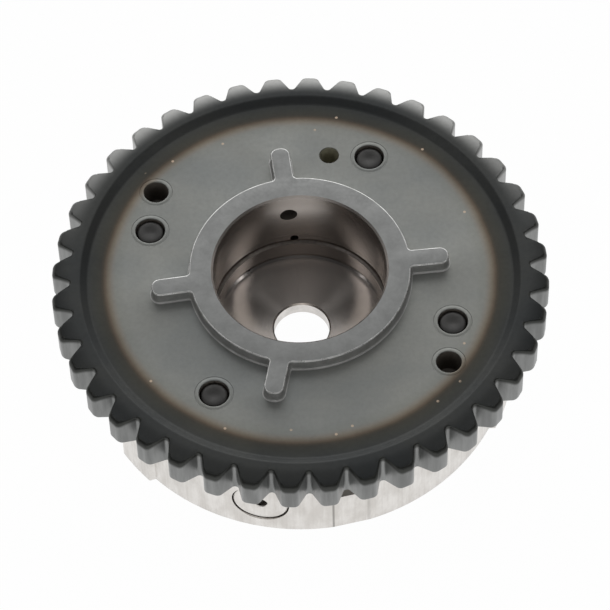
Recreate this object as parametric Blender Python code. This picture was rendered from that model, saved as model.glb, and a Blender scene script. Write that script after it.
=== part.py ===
"""Cam phaser: a chain sprocket bolted to an alloy case in which a vaned rotor turns.

Metres, +Z up. The turning axis is the Z axis. The part stands on its case bolt heads at z = 0,
with the sprocket's camshaft side on top.
"""

import math

import bmesh
import bpy
from mathutils import Matrix, Vector

# Gaps between neighbouring pieces
SEAT_GAP = 0.0003
SLIDE_GAP = 0.0002

# Sprocket teeth, for a toothed chain
CHAIN_PITCH = 0.0080
TOOTH_COUNT = 40
TOOTH_PHASE = 5.15
TIP_OUTSET = 0.0002
TOOTH_HEIGHT = 0.0041
TIP_LAND = 0.00305
TOOTH_FOOT = 0.0067
TIP_ROUND = 0.0013
ROOT_ROUND = 0.0008
TOOTH_STEPS = 3

# Sprocket rim and plate
RIM_WIDTH = 0.0088
RIM_RISE = 0.00086
RIM_LAND = 0.0016
RIM_BEVEL = 0.00185
TIP_DROP = 0.00105
PLATE_STEP = 0.0034
EDGE_CHAMFER = 0.0003

# Camshaft bore and boss
BORE_RADIUS = 0.01785
BORE_CHAMFER = 0.0004
BOSS_WALL = 0.00495
BOSS_RISE = 0.00275
BOSS_CHAMFER = 0.0004
LOBE_REACH = 0.0079
LOBE_WIDTH = 0.0041
LOBE_FILLET = 0.0012
LOBE_END_ROUND = 0.0018
LOBE_ANGLES = (4.2, 96.8, 187.2, 258.2)

# Holes in the plate
FEED_HOLE_RADIUS = 0.00183
FEED_HOLE_DEPTH = 0.0075
FEED_HOLE_DROP = 0.0035
FEED_HOLE_ANGLE = 96.5
DOWEL_RADIUS = 0.00255
DOWEL_OUTSET = 0.0037
DOWEL_ANGLES = (143.2, 323.2)
GAUGE_RADIUS = 0.0020
GAUGE_INSET = 0.0022
GAUGE_ANGLE = 77.2
BLIND_DEPTH = 0.0065
HOLE_CHAMFER = 0.0002
DRILL_TIP = 0.0001
DRILL_SLOPE = 0.6

# Case
CASE_RADIUS = 0.0437
CASE_HEIGHT = 0.0170
CASE_WALL = 0.0052
CORNER_FILLET = 0.0012
SHOE_ROUND = 0.0005
LUG_COUNT = 3
LUG_PHASE = 98.0
LUG_WIDTH = 0.0086
LUG_RISE = 0.0012
LUG_ROUND = 0.0004
LUG_SLANT = 1.0
FLAT_ANGLE = 282.0
FLAT_WIDTH = 0.0077
NOTCH_ANGLE = 280.6
NOTCH_WIDTH = 0.0062
NOTCH_DROP = 0.0054
NOTCH_DEPTH = 0.0030

# Case bolts, and for each shoe its bolt angle and the degrees of shoe before and after it
BOLT_RADIUS = 0.00275
BOLT_SHARE = 0.4355
BOLT_RECESS = 0.0005
BOLT_POINT_RADIUS = 0.0017
BOLT_POINT_LENGTH = 0.0013
HEX_APOTHEM = 0.0040
HEAD_HEIGHT = 0.0050
FLANGE_RADIUS = 0.0063
FLANGE_HEIGHT = 0.0012
SHOES = (
    (62.6, 11.0, 18.0, 10.9),
    (158.1, 19.0, 11.0, -10.9),
    (237.1, 18.0, 37.0, -10.9),
    (338.2, 20.0, 11.0, -10.9),
)

# Rotor, with the share of the way from its bore to the case's edge that the hub takes
SEAT_STEP = 0.00015
SEAT_DEPTH = 0.0079
HUB_SHARE = 0.2615
WEB_THICKNESS = 0.0033
NECK_RADIUS = 0.00584
RECESS_RADIUS = 0.0130
MOUTH_STEP = 0.0006
MOUTH_DEPTH = 0.0024
RELIEF_STEP = 0.0005
RELIEF_HEIGHT = 0.0016
DRILL_RADIUS = 0.0009
RELIEF_DRILL_RADIUS = 0.0006
DRILL_MARGIN = 4.0
TRAVEL = 25.0
STOP_PLAY = 0.8
VANE_PLAY = (4.0, 2.5, STOP_PLAY, 5.0)
VANE_FILLET = 0.0012
TIP_CLEARANCE = 0.0006

# Tip seals and their leaf springs
SEAL_WIDTH = 0.0020
SEAL_HEIGHT = 0.0030
SEAL_FOOT = 0.0022
SEAL_HOLLOW = 0.0005
LEAF_ROOM = 0.0010
LEAF_WIDTH = 0.0015
LEAF_THICKNESS = 0.0002
LEAF_INSET = 0.0008

# Lock pin, along a radius through the widest shoe
LOCK_ANGLE = 257.3
PIN_RADIUS = 0.0033
PIN_NOSE_STEP = 0.0003
PIN_NOSE_LENGTH = 0.0040
PIN_CHAMFER = 0.0005
PIN_LIFT = 0.0012
PIN_BACK_ROOM = 0.0030
SLEEVE_WALL = 0.0012
PLUG_RADIUS = 0.00565
PLUG_THICKNESS = 0.0032
PLUG_SINK = 0.0003
VENT_RADIUS = 0.0014
SPRING_SEAT_DEPTH = 0.0008
SPRING_RADIUS = 0.0017
WIRE_RADIUS = 0.0003
SPRING_TURNS = 6.5
LOCK_HOLE_DEPTH = 0.0042

# Front cover
COVER_MARGIN = 0.0015
COVER_THICKNESS = 0.0030
COVER_HOLE_CLEARANCE = 0.0015

# Faces round each kind of curve, and the degrees of arc that rounded corners leave free
LARGE_STEPS = 80
BORE_STEPS = 48
SMALL_STEPS = 24
BOLT_STEPS = 18
FILLET_STEPS = 2
ARC_STEP = 3.6
TIP_MARGIN = 2.0
FOOT_MARGIN = 4.5

# Heights, from the bolt heads up
COVER_BASE = HEAD_HEIGHT + SEAT_GAP
COVER_TOP = COVER_BASE + COVER_THICKNESS
CASE_BASE = COVER_TOP + SEAT_GAP
CASE_TOP = CASE_BASE + CASE_HEIGHT
PLATE_BASE = CASE_TOP + SEAT_GAP
FACE = PLATE_BASE + PLATE_STEP + RIM_WIDTH - RIM_RISE
RIM_TOP = FACE + RIM_RISE
RIM_BASE = RIM_TOP - RIM_WIDTH
BOSS_TOP = FACE + BOSS_RISE
SEAT_FLOOR = CASE_TOP - SEAT_DEPTH
WEB_BASE = SEAT_FLOOR - WEB_THICKNESS
LOCK_HEIGHT = SEAT_FLOOR

# Radii worked out from their neighbours
TIP_RADIUS = CHAIN_PITCH / 2 / math.sin(math.pi / TOOTH_COUNT) + TIP_OUTSET
ROOT_RADIUS = TIP_RADIUS - TOOTH_HEIGHT
BOSS_RADIUS = BORE_RADIUS + BOSS_WALL
SEAT_RADIUS = BORE_RADIUS - SEAT_STEP
HUB_RADIUS = SEAT_RADIUS + HUB_SHARE * (CASE_RADIUS - SEAT_RADIUS)
SHOE_RADIUS = HUB_RADIUS + TIP_CLEARANCE
CHAMBER_RADIUS = CASE_RADIUS - CASE_WALL
VANE_RADIUS = CHAMBER_RADIUS - TIP_CLEARANCE
BOLT_CIRCLE = SHOE_RADIUS + BOLT_SHARE * (CASE_RADIUS - SHOE_RADIUS)
DOWEL_CIRCLE = BOLT_CIRCLE + DOWEL_OUTSET
GAUGE_CIRCLE = BOLT_CIRCLE - GAUGE_INSET
COVER_RADIUS = BOLT_CIRCLE + FLANGE_RADIUS + COVER_MARGIN
BOLT_HOLE_RADIUS = BOLT_RADIUS + SEAT_GAP
SLOT_WIDTH = SEAL_WIDTH + 2 * SEAT_GAP
SLOT_DEPTH = SEAL_HEIGHT + LEAF_ROOM + SEAT_GAP - TIP_CLEARANCE
MOUTH_MIDDLE = CASE_TOP - MOUTH_DEPTH / 2
RELIEF_MIDDLE = SEAT_FLOOR + RELIEF_HEIGHT / 2
SLEEVE_BORE = PIN_RADIUS + SLIDE_GAP
SLEEVE_RADIUS = SLEEVE_BORE + SLEEVE_WALL
PIN_NOSE = HUB_RADIUS + SEAT_GAP
PLUG_OUTSIDE = CASE_RADIUS - PLUG_SINK
PLUG_INSIDE = PLUG_OUTSIDE - PLUG_THICKNESS
PIN_BACK = PLUG_INSIDE - PIN_LIFT - PIN_BACK_ROOM
SPRING_HOLLOW = SPRING_RADIUS + WIRE_RADIUS + SEAT_GAP
PIN_HOLLOW_FLOOR = PIN_NOSE + PIN_NOSE_LENGTH + PIN_CHAMFER


def clear_scene():
    """Remove whatever the scene holds."""
    for thing in list(bpy.data.objects):
        bpy.data.objects.remove(thing, do_unlink=True)


def finish_material(name, colour, roughness, metallic):
    """One plain finish: colour, roughness and how metallic it is."""
    material = bpy.data.materials.new(name)
    material.use_nodes = True
    shader = material.node_tree.nodes["Principled BSDF"]
    shader.inputs["Base Color"].default_value = (*colour, 1.0)
    shader.inputs["Roughness"].default_value = roughness
    shader.inputs["Metallic"].default_value = metallic
    return material


def make_object(name, shape, material=None):
    """Turn a bmesh into a named object, smooth across its shallow edges."""
    bmesh.ops.recalc_face_normals(shape, faces=shape.faces)
    mesh = bpy.data.meshes.new(name)
    shape.to_mesh(mesh)
    shape.free()
    thing = bpy.data.objects.new(name, mesh)
    bpy.context.scene.collection.objects.link(thing)
    if material:
        mesh.materials.append(material)
    smooth(mesh)
    return thing


def smooth(mesh):
    """Shade a mesh smooth, with its corners kept sharp."""
    mesh.shade_smooth()
    mesh.set_sharp_from_angle(angle=math.radians(32))


def carve(thing, shape, operation="DIFFERENCE"):
    """Cut a shape out of an object, or join or intersect them, and keep the result as its mesh."""
    cutter = make_object(thing.name + "_cutter", shape)
    cutter.hide_render = True
    cutter.display_type = "WIRE"
    boolean = thing.modifiers.new(operation.lower(), "BOOLEAN")
    boolean.operation = operation
    boolean.solver = "EXACT"
    boolean.object = cutter
    depsgraph = bpy.context.evaluated_depsgraph_get()
    result = bpy.data.meshes.new_from_object(thing.evaluated_get(depsgraph))
    thing.modifiers.clear()
    thing.data = result
    bpy.data.objects.remove(cutter, do_unlink=True)
    smooth(result)


def polar(radius, degrees, rounding=0.0):
    """A corner at a radius and an angle, with the radius that rounds it."""
    angle = math.radians(degrees)
    return radius * math.cos(angle), radius * math.sin(angle), rounding


def arc(radius, start, end):
    """Corners along an arc, both ends included, evenly spaced."""
    steps = max(1, round(abs(end - start) / ARC_STEP))
    return [polar(radius, start + (end - start) * step / steps) for step in range(steps + 1)]


def half_angle(width, radius):
    """Degrees from the middle to the edge of a chord of that width."""
    return math.degrees(math.asin(width / 2 / radius))


def rounded(corners, steps=FILLET_STEPS):
    """An outline with each corner replaced by a tangent arc of its own radius."""
    outline = []
    for index, (x, y, radius) in enumerate(corners):
        corner = Vector((x, y))
        if radius <= 0:
            outline.append(corner)
            continue
        before = Vector(corners[index - 1][:2]) - corner
        after = Vector(corners[(index + 1) % len(corners)][:2]) - corner
        half = before.angle(after) / 2
        reach = min(radius / math.tan(half), 0.45 * before.length, 0.45 * after.length)
        radius = reach * math.tan(half)
        centre = corner + (before.normalized() + after.normalized()).normalized() * radius / math.sin(half)
        first = corner + before.normalized() * reach - centre
        last = corner + after.normalized() * reach - centre
        sweep = first.angle_signed(last)
        for step in range(steps + 1):
            turn = Matrix.Rotation(-sweep * step / steps, 2)
            outline.append(centre + turn @ first)
    return outline


def prism(outline, low, high, shape=None, place=Matrix.Identity(4)):
    """An outline in the XY plane, extruded from low to high, then placed."""
    shape = shape or bmesh.new()
    base = [shape.verts.new(place @ Vector((x, y, low))) for x, y in outline]
    lid = [shape.verts.new(place @ Vector((x, y, high))) for x, y in outline]
    shape.faces.new(list(reversed(base)))
    shape.faces.new(lid)
    for index in range(len(outline)):
        after = (index + 1) % len(outline)
        shape.faces.new((base[index], base[after], lid[after], lid[index]))
    return shape


def turned(profile, steps, shape=None, place=Matrix.Identity(4), closed=False):
    """A profile of (radius, height) or (apothem, height, sides) rows turned about the Z axis.

    An open profile is closed by a flat disc at each end. A closed one makes a ring.
    """
    shape = shape or bmesh.new()
    rings = []
    for row in profile:
        radius, height = row[:2]
        ring = []
        for step in range(steps):
            angle = 2 * math.pi * step / steps
            reach = radius
            if len(row) == 3:
                side = 2 * math.pi / row[2]
                reach = radius / math.cos(angle % side - side / 2)
            point = Vector((reach * math.cos(angle), reach * math.sin(angle), height))
            ring.append(shape.verts.new(place @ point))
        rings.append(ring)
    pairs = list(zip(rings, rings[1:]))
    if closed:
        pairs.append((rings[-1], rings[0]))
    else:
        shape.faces.new(list(reversed(rings[0])))
        shape.faces.new(rings[-1])
    for lower, upper in pairs:
        for step in range(steps):
            after = (step + 1) % steps
            shape.faces.new((lower[step], lower[after], upper[after], upper[step]))
    return shape


def along_radius(degrees, height=0.0):
    """Place for a shape turned about Z so that its axis lies along a radius of the part."""
    turn = Matrix.Rotation(math.radians(degrees), 4, "Z")
    return Matrix.Translation((0, 0, height)) @ turn @ Matrix.Rotation(math.pi / 2, 4, "Y")


def upright(degrees, height=0.0):
    """Place for an outline of (radius, height), extruded across the radius."""
    turn = Matrix.Rotation(math.radians(degrees), 4, "Z")
    return Matrix.Translation((0, 0, height)) @ turn @ Matrix.Rotation(math.pi / 2, 4, "X")


def at_point(radius, degrees):
    """Place for a shape standing at a radius and an angle."""
    x, y, _ = polar(radius, degrees)
    return Matrix.Translation((x, y, 0))


def rectangle(inside, outside, width):
    """The plan of a slot along +X, from one radius to another."""
    return [(inside, -width / 2), (outside, -width / 2), (outside, width / 2), (inside, width / 2)]


def turned_to(degrees):
    """Place for a plan drawn along +X, turned to its angle."""
    return Matrix.Rotation(math.radians(degrees), 4, "Z")


def shoe_spans():
    """Start angle, end angle and seal angle of each shoe of the case."""
    return [(bolt - before, bolt + after, bolt + seal) for bolt, before, after, seal in SHOES]


def vane_spans():
    """Start angle, end angle and middle of each vane: the space between shoes, less the travel."""
    shoes = shoe_spans()
    spans = []
    for index, play in enumerate(VANE_PLAY):
        wall = shoes[index][1]
        next_wall = shoes[(index + 1) % len(shoes)][0]
        if next_wall < wall:
            next_wall += 360
        middle = (wall + next_wall) / 2
        half = (next_wall - wall - TRAVEL) / 2 - play
        spans.append((middle - half, middle + half, middle))
    return spans


def tooth_outline():
    """The toothed edge: straight flanks that run on to meet midway between teeth, all corners rounded."""
    spread = (TOOTH_FOOT - TIP_LAND) / 2 / TOOTH_HEIGHT
    half_tooth = math.tan(math.pi / TOOTH_COUNT)
    meeting = (TIP_LAND / 2 + TIP_RADIUS * spread) / (half_tooth + spread)
    rows = (
        (TIP_RADIUS, -TIP_LAND / 2, TIP_ROUND),
        (TIP_RADIUS, TIP_LAND / 2, TIP_ROUND),
        (meeting, meeting * half_tooth, ROOT_ROUND),
    )
    corners = []
    for index in range(TOOTH_COUNT):
        angle = math.radians(TOOTH_PHASE + 360 / TOOTH_COUNT * index)
        for out, across, rounding in rows:
            x = out * math.cos(angle) - across * math.sin(angle)
            y = out * math.sin(angle) + across * math.cos(angle)
            corners.append((x, y, rounding))
    return rounded(corners, TOOTH_STEPS)


def boss_outline():
    """The boss ring's edge with its four round-ended lobes."""
    corners = []
    half = half_angle(LOBE_WIDTH + 2 * LOBE_FILLET, BOSS_RADIUS)
    for index, middle in enumerate(LOBE_ANGLES):
        turn = math.radians(middle)
        foot = math.sqrt(BOSS_RADIUS ** 2 - (LOBE_WIDTH / 2) ** 2)
        end = BOSS_RADIUS + LOBE_REACH
        rows = (
            (foot, -LOBE_WIDTH / 2, LOBE_FILLET),
            (end, -LOBE_WIDTH / 2, LOBE_END_ROUND),
            (end, LOBE_WIDTH / 2, LOBE_END_ROUND),
            (foot, LOBE_WIDTH / 2, LOBE_FILLET),
        )
        for out, across, rounding in rows:
            x = out * math.cos(turn) - across * math.sin(turn)
            y = out * math.sin(turn) + across * math.cos(turn)
            corners.append((x, y, rounding))
        following = LOBE_ANGLES[(index + 1) % len(LOBE_ANGLES)]
        if following < middle:
            following += 360
        corners += arc(BOSS_RADIUS, middle + half, following - half)
    return rounded(corners)


def boss_shape():
    """The boss: its outline raised from inside the plate, with a chamfered top edge."""
    shape = prism(boss_outline(), FACE - BOSS_RISE, BOSS_TOP - BOSS_CHAMFER)
    shape.normal_update()
    lid = [face for face in shape.faces if face.normal.z > 0.5]
    bmesh.ops.inset_individual(shape, faces=lid, thickness=BOSS_CHAMFER, depth=BOSS_CHAMFER)
    return shape


def blind_hole(radius, degrees, circle, shape):
    """A drilled hole in the plate's face, with a drill point and a chamfered mouth."""
    profile = (
        (DRILL_TIP, FACE - BLIND_DEPTH - radius * DRILL_SLOPE),
        (radius, FACE - BLIND_DEPTH),
        (radius, FACE - HOLE_CHAMFER),
        (radius + 2 * HOLE_CHAMFER, FACE + HOLE_CHAMFER),
    )
    turned(profile, SMALL_STEPS, shape, at_point(circle, degrees))


def make_sprocket(material):
    """The sprocket: a turned blank, toothed edge, boss, bore and holes, all one piece."""
    blank_edge = TIP_RADIUS + TOOTH_HEIGHT
    brow = ROOT_RADIUS - EDGE_CHAMFER
    shoulder = (brow + TIP_RADIUS) / 2
    shoulder_drop = TIP_DROP / 4
    edge_drop = TIP_DROP + (TIP_DROP - shoulder_drop) * TOOTH_HEIGHT / (TIP_RADIUS - shoulder)
    dish = ROOT_RADIUS - RIM_LAND
    blank = turned((
        (CASE_RADIUS - EDGE_CHAMFER, PLATE_BASE),
        (CASE_RADIUS, PLATE_BASE + EDGE_CHAMFER),
        (CASE_RADIUS, RIM_BASE),
        (brow, RIM_BASE),
        (shoulder, RIM_BASE + shoulder_drop),
        (blank_edge, RIM_BASE + edge_drop),
        (blank_edge, RIM_TOP - edge_drop),
        (shoulder, RIM_TOP - shoulder_drop),
        (brow, RIM_TOP),
        (dish, RIM_TOP),
        (dish - RIM_BEVEL, FACE),
    ), LARGE_STEPS)
    sprocket = make_object("sprocket", blank, material)
    carve(sprocket, prism(tooth_outline(), PLATE_BASE - RIM_WIDTH, RIM_TOP + RIM_WIDTH), "INTERSECT")
    carve(sprocket, boss_shape(), "UNION")
    holes = turned((
        (BORE_RADIUS + BORE_CHAMFER, PLATE_BASE - BORE_CHAMFER),
        (BORE_RADIUS, PLATE_BASE + BORE_CHAMFER),
        (BORE_RADIUS, BOSS_TOP - BORE_CHAMFER),
        (BORE_RADIUS + 2 * BORE_CHAMFER, BOSS_TOP + BORE_CHAMFER),
    ), BORE_STEPS)
    for bolt in SHOES:
        turned((
            (BOLT_HOLE_RADIUS, PLATE_BASE - RIM_RISE),
            (BOLT_HOLE_RADIUS, FACE - HOLE_CHAMFER),
            (BOLT_HOLE_RADIUS + 2 * HOLE_CHAMFER, FACE + HOLE_CHAMFER),
        ), SMALL_STEPS, holes, at_point(BOLT_CIRCLE, bolt[0]))
    for degrees in DOWEL_ANGLES:
        blind_hole(DOWEL_RADIUS, degrees, DOWEL_CIRCLE, holes)
    blind_hole(GAUGE_RADIUS, GAUGE_ANGLE, GAUGE_CIRCLE, holes)
    carve(sprocket, holes)
    feed_end = BORE_RADIUS + FEED_HOLE_DEPTH
    feed = turned((
        (FEED_HOLE_RADIUS, BORE_RADIUS - FEED_HOLE_RADIUS),
        (FEED_HOLE_RADIUS, feed_end),
        (DRILL_TIP, feed_end + FEED_HOLE_RADIUS * DRILL_SLOPE),
    ), SMALL_STEPS, place=along_radius(FEED_HOLE_ANGLE, FACE - FEED_HOLE_DROP))
    carve(sprocket, feed)
    return sprocket


def case_outline():
    """The case's outside: a circle with raised lugs and one machined flat."""
    lug_radius = CASE_RADIUS + LUG_RISE
    half = half_angle(LUG_WIDTH, lug_radius)
    flat_half = half_angle(FLAT_WIDTH, CASE_RADIUS)
    middles = [(LUG_PHASE + 360 / LUG_COUNT * index) % 360 for index in range(LUG_COUNT)]
    stops = [(middle, half + LUG_SLANT, True) for middle in middles]
    stops.append((FLAT_ANGLE, flat_half, False))
    stops.sort()
    corners = []
    for index, (middle, reach, raised) in enumerate(stops):
        if raised:
            corners.append(polar(CASE_RADIUS, middle - reach, LUG_ROUND))
            corners.append(polar(lug_radius, middle - half, LUG_ROUND))
            corners += arc(lug_radius, middle - half + LUG_SLANT, middle + half - LUG_SLANT)
            corners.append(polar(lug_radius, middle + half, LUG_ROUND))
            corners.append(polar(CASE_RADIUS, middle + reach, LUG_ROUND))
        following, next_reach, next_raised = stops[(index + 1) % len(stops)]
        if following < middle:
            following += 360
        start = middle + reach + (LUG_SLANT if raised else 0.0)
        end = following - next_reach - (LUG_SLANT if next_raised else 0.0)
        corners += arc(CASE_RADIUS, start, end)
    return rounded(corners)


def chamber_outline():
    """The case's inside: oil chambers between shoes that reach in towards the rotor's hub."""
    shoes = shoe_spans()
    corners = []
    for index, (start, end, _) in enumerate(shoes):
        following = shoes[(index + 1) % len(shoes)][0]
        if following < end:
            following += 360
        corners.append(polar(CHAMBER_RADIUS, start, CORNER_FILLET))
        corners.append(polar(SHOE_RADIUS, start, SHOE_ROUND))
        corners += arc(SHOE_RADIUS, start + TIP_MARGIN, end - TIP_MARGIN)
        corners.append(polar(SHOE_RADIUS, end, SHOE_ROUND))
        corners.append(polar(CHAMBER_RADIUS, end, CORNER_FILLET))
        corners += arc(CHAMBER_RADIUS, end + FOOT_MARGIN, following - FOOT_MARGIN)
    return rounded(corners)


def make_case(material):
    """The alloy case: shoes, chambers, bolt holes, seal slots, notch and lock pin bore."""
    case = make_object("case", prism(case_outline(), CASE_BASE, CASE_TOP), material)
    below = CASE_BASE - CASE_WALL
    above = CASE_TOP + CASE_WALL
    hollow = prism(chamber_outline(), below, above)
    for bolt in SHOES:
        turned(((BOLT_HOLE_RADIUS, below), (BOLT_HOLE_RADIUS, above)), BOLT_STEPS, hollow,
               at_point(BOLT_CIRCLE, bolt[0]))
    carve(case, hollow)
    slots = bmesh.new()
    for _, _, seal in shoe_spans():
        plan = rectangle(SHOE_RADIUS - TIP_CLEARANCE, SHOE_RADIUS + SLOT_DEPTH, SLOT_WIDTH)
        prism(plan, below, above, slots, turned_to(seal))
    plan = rectangle(CASE_RADIUS - NOTCH_DEPTH, CASE_RADIUS + NOTCH_DEPTH, NOTCH_WIDTH)
    prism(plan, CASE_TOP - NOTCH_DROP, above, slots, turned_to(NOTCH_ANGLE))
    carve(case, slots)
    bore = turned((
        (SLEEVE_RADIUS + SEAT_GAP, HUB_RADIUS - TIP_CLEARANCE),
        (SLEEVE_RADIUS + SEAT_GAP, PLUG_INSIDE - SEAT_GAP),
        (PLUG_RADIUS + SEAT_GAP, PLUG_INSIDE - SEAT_GAP),
        (PLUG_RADIUS + SEAT_GAP, CASE_RADIUS + LUG_RISE),
    ), SMALL_STEPS, place=along_radius(LOCK_ANGLE, LOCK_HEIGHT))
    carve(case, bore)
    return case


def rotor_outline():
    """The rotor's plan: a round hub with four vanes of radial sides."""
    spans = vane_spans()
    corners = []
    for index, (start, end, _) in enumerate(spans):
        following = spans[(index + 1) % len(spans)][0]
        if following < end:
            following += 360
        corners.append(polar(HUB_RADIUS, start, VANE_FILLET))
        corners.append(polar(VANE_RADIUS, start, SHOE_ROUND))
        corners += arc(VANE_RADIUS, start + TIP_MARGIN, end - TIP_MARGIN)
        corners.append(polar(VANE_RADIUS, end, SHOE_ROUND))
        corners.append(polar(HUB_RADIUS, end, VANE_FILLET))
        corners += arc(HUB_RADIUS, end + FOOT_MARGIN, following - FOOT_MARGIN)
    return rounded(corners)


def make_rotor(material):
    """The rotor: hub and vanes, stepped bore, drillings, seal slots and lock hole."""
    rotor = make_object("rotor", prism(rotor_outline(), CASE_BASE, CASE_TOP), material)
    relief = SEAT_RADIUS + RELIEF_STEP
    mouth = SEAT_RADIUS + MOUTH_STEP
    bore = turned((
        (RECESS_RADIUS + 2 * EDGE_CHAMFER, CASE_BASE - EDGE_CHAMFER),
        (RECESS_RADIUS, CASE_BASE + EDGE_CHAMFER),
        (RECESS_RADIUS, WEB_BASE),
        (NECK_RADIUS + EDGE_CHAMFER, WEB_BASE),
        (NECK_RADIUS, WEB_BASE + EDGE_CHAMFER),
        (NECK_RADIUS, SEAT_FLOOR - EDGE_CHAMFER),
        (NECK_RADIUS + EDGE_CHAMFER, SEAT_FLOOR),
        (SEAT_RADIUS, SEAT_FLOOR),
        (relief, SEAT_FLOOR + EDGE_CHAMFER),
        (relief, SEAT_FLOOR + RELIEF_HEIGHT - EDGE_CHAMFER),
        (SEAT_RADIUS, SEAT_FLOOR + RELIEF_HEIGHT),
        (SEAT_RADIUS, CASE_TOP - MOUTH_DEPTH - EDGE_CHAMFER),
        (SEAT_RADIUS + EDGE_CHAMFER, CASE_TOP - MOUTH_DEPTH),
        (mouth, CASE_TOP - MOUTH_DEPTH),
        (mouth, CASE_TOP + MOUTH_STEP),
    ), BORE_STEPS)
    carve(rotor, bore)
    cuts = bmesh.new()
    for start, end, middle in vane_spans():
        plan = rectangle(VANE_RADIUS - SLOT_DEPTH, VANE_RADIUS + TIP_CLEARANCE, SLOT_WIDTH)
        prism(plan, CASE_BASE - RIM_RISE, CASE_TOP + RIM_RISE, cuts, turned_to(middle))
        drillings = (
            (DRILL_RADIUS, start - DRILL_MARGIN, MOUTH_MIDDLE),
            (RELIEF_DRILL_RADIUS, end + DRILL_MARGIN, RELIEF_MIDDLE),
        )
        for radius, angle, height in drillings:
            drill = ((radius, SEAT_RADIUS - radius), (radius, HUB_RADIUS + radius))
            turned(drill, SMALL_STEPS // 2, cuts, along_radius(angle, height))
    hole_angle = LOCK_ANGLE + TRAVEL / 2
    turned((
        (PIN_RADIUS, HUB_RADIUS - LOCK_HOLE_DEPTH),
        (PIN_RADIUS, HUB_RADIUS + TIP_CLEARANCE),
    ), SMALL_STEPS, cuts, along_radius(hole_angle, LOCK_HEIGHT))
    carve(rotor, cuts)
    return rotor


def make_front_cover(material):
    """The flat steel cover on the case's far side, with its centre hole and bolt holes."""
    hole = RECESS_RADIUS + COVER_HOLE_CLEARANCE
    ring = turned((
        (hole, COVER_BASE + EDGE_CHAMFER),
        (hole, COVER_TOP),
        (COVER_RADIUS, COVER_TOP),
        (COVER_RADIUS, COVER_BASE + EDGE_CHAMFER),
        (COVER_RADIUS - EDGE_CHAMFER, COVER_BASE),
        (hole + EDGE_CHAMFER, COVER_BASE),
    ), BORE_STEPS, closed=True)
    cover = make_object("front_cover", ring, material)
    holes = bmesh.new()
    for bolt in SHOES:
        turned((
            (BOLT_HOLE_RADIUS, COVER_BASE - COVER_THICKNESS),
            (BOLT_HOLE_RADIUS, COVER_TOP + COVER_THICKNESS),
        ), BOLT_STEPS, holes, at_point(BOLT_CIRCLE, bolt[0]))
    carve(cover, holes)
    return cover


def make_case_bolt(number, degrees, material):
    """One flanged hexagon bolt, up through cover and case into the sprocket plate."""
    tip = FACE - BOLT_RECESS
    flange_base = HEAD_HEIGHT - FLANGE_HEIGHT
    bolt = turned((
        (HEX_APOTHEM - EDGE_CHAMFER, 0.0),
        (HEX_APOTHEM, 2 * EDGE_CHAMFER, 6),
        (HEX_APOTHEM, flange_base - EDGE_CHAMFER, 6),
        (FLANGE_RADIUS, flange_base + EDGE_CHAMFER),
        (FLANGE_RADIUS, HEAD_HEIGHT - EDGE_CHAMFER),
        (FLANGE_RADIUS - EDGE_CHAMFER, HEAD_HEIGHT),
        (BOLT_RADIUS, HEAD_HEIGHT),
        (BOLT_RADIUS, tip - BOLT_POINT_LENGTH),
        (BOLT_POINT_RADIUS, tip - BOLT_POINT_RADIUS / 4),
        (BOLT_POINT_RADIUS / 2, tip),
    ), BOLT_STEPS, place=at_point(BOLT_CIRCLE, degrees))
    return make_object("case_bolt_%d" % number, bolt, material)


def seal_outline(sealing, back):
    """A tip seal's side: straight sealing edge, and a back with two feet and a hollow between."""
    low = CASE_BASE + SEAT_GAP
    high = CASE_TOP - SEAT_GAP
    inward = SEAL_HOLLOW if sealing > back else -SEAL_HOLLOW
    return [
        (sealing, low),
        (back, low),
        (back, low + SEAL_FOOT),
        (back + inward, low + SEAL_FOOT + SEAL_HOLLOW),
        (back + inward, high - SEAL_FOOT - SEAL_HOLLOW),
        (back, high - SEAL_FOOT),
        (back, high),
        (sealing, high),
    ]


def leaf_outline(floor, seal_side):
    """A leaf spring's side: a thin strip that bows from the slot's floor towards the seal."""
    low = CASE_BASE + SEAT_GAP + LEAF_INSET
    high = CASE_TOP - SEAT_GAP - LEAF_INSET
    steps = 10
    bow = LEAF_ROOM + SEAL_HOLLOW - 2 * SEAT_GAP - LEAF_THICKNESS
    near = []
    far = []
    for step in range(steps + 1):
        share = step / steps
        rise = SEAT_GAP + bow * math.sin(math.pi * share) ** 2
        height = low + (high - low) * share
        near.append((floor + seal_side * rise, height))
        far.append((floor + seal_side * (rise + LEAF_THICKNESS), height))
    return near + list(reversed(far))


def make_seal_pair(name, number, degrees, sealing, facing, seal_material, leaf_material):
    """A tip seal and the leaf spring behind it. Facing is -1 towards the hub, +1 away from it."""
    back = sealing - facing * SEAL_HEIGHT
    floor = back - facing * LEAF_ROOM
    body = prism(seal_outline(sealing, back), -SEAL_WIDTH / 2, SEAL_WIDTH / 2, place=upright(degrees))
    leaf = prism(leaf_outline(floor, facing), -LEAF_WIDTH / 2, LEAF_WIDTH / 2, place=upright(degrees))
    seal = make_object("%s_seal_%d" % (name, number), body, seal_material)
    spring = make_object("%s_spring_%d" % (name, number), leaf, leaf_material)
    return seal, spring


def make_lock_pin(material):
    """The hollow lock pin, its nose towards the rotor's hub."""
    nose_radius = PIN_RADIUS - PIN_NOSE_STEP
    pin = turned((
        (nose_radius - PIN_CHAMFER, PIN_NOSE),
        (nose_radius, PIN_NOSE + PIN_CHAMFER),
        (nose_radius, PIN_NOSE + PIN_NOSE_LENGTH),
        (PIN_RADIUS, PIN_NOSE + PIN_NOSE_LENGTH + PIN_NOSE_STEP),
        (PIN_RADIUS, PIN_BACK),
        (SPRING_HOLLOW, PIN_BACK),
        (SPRING_HOLLOW, PIN_HOLLOW_FLOOR),
    ), BOLT_STEPS, place=along_radius(LOCK_ANGLE, LOCK_HEIGHT))
    return make_object("lock_pin", pin, material)


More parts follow.
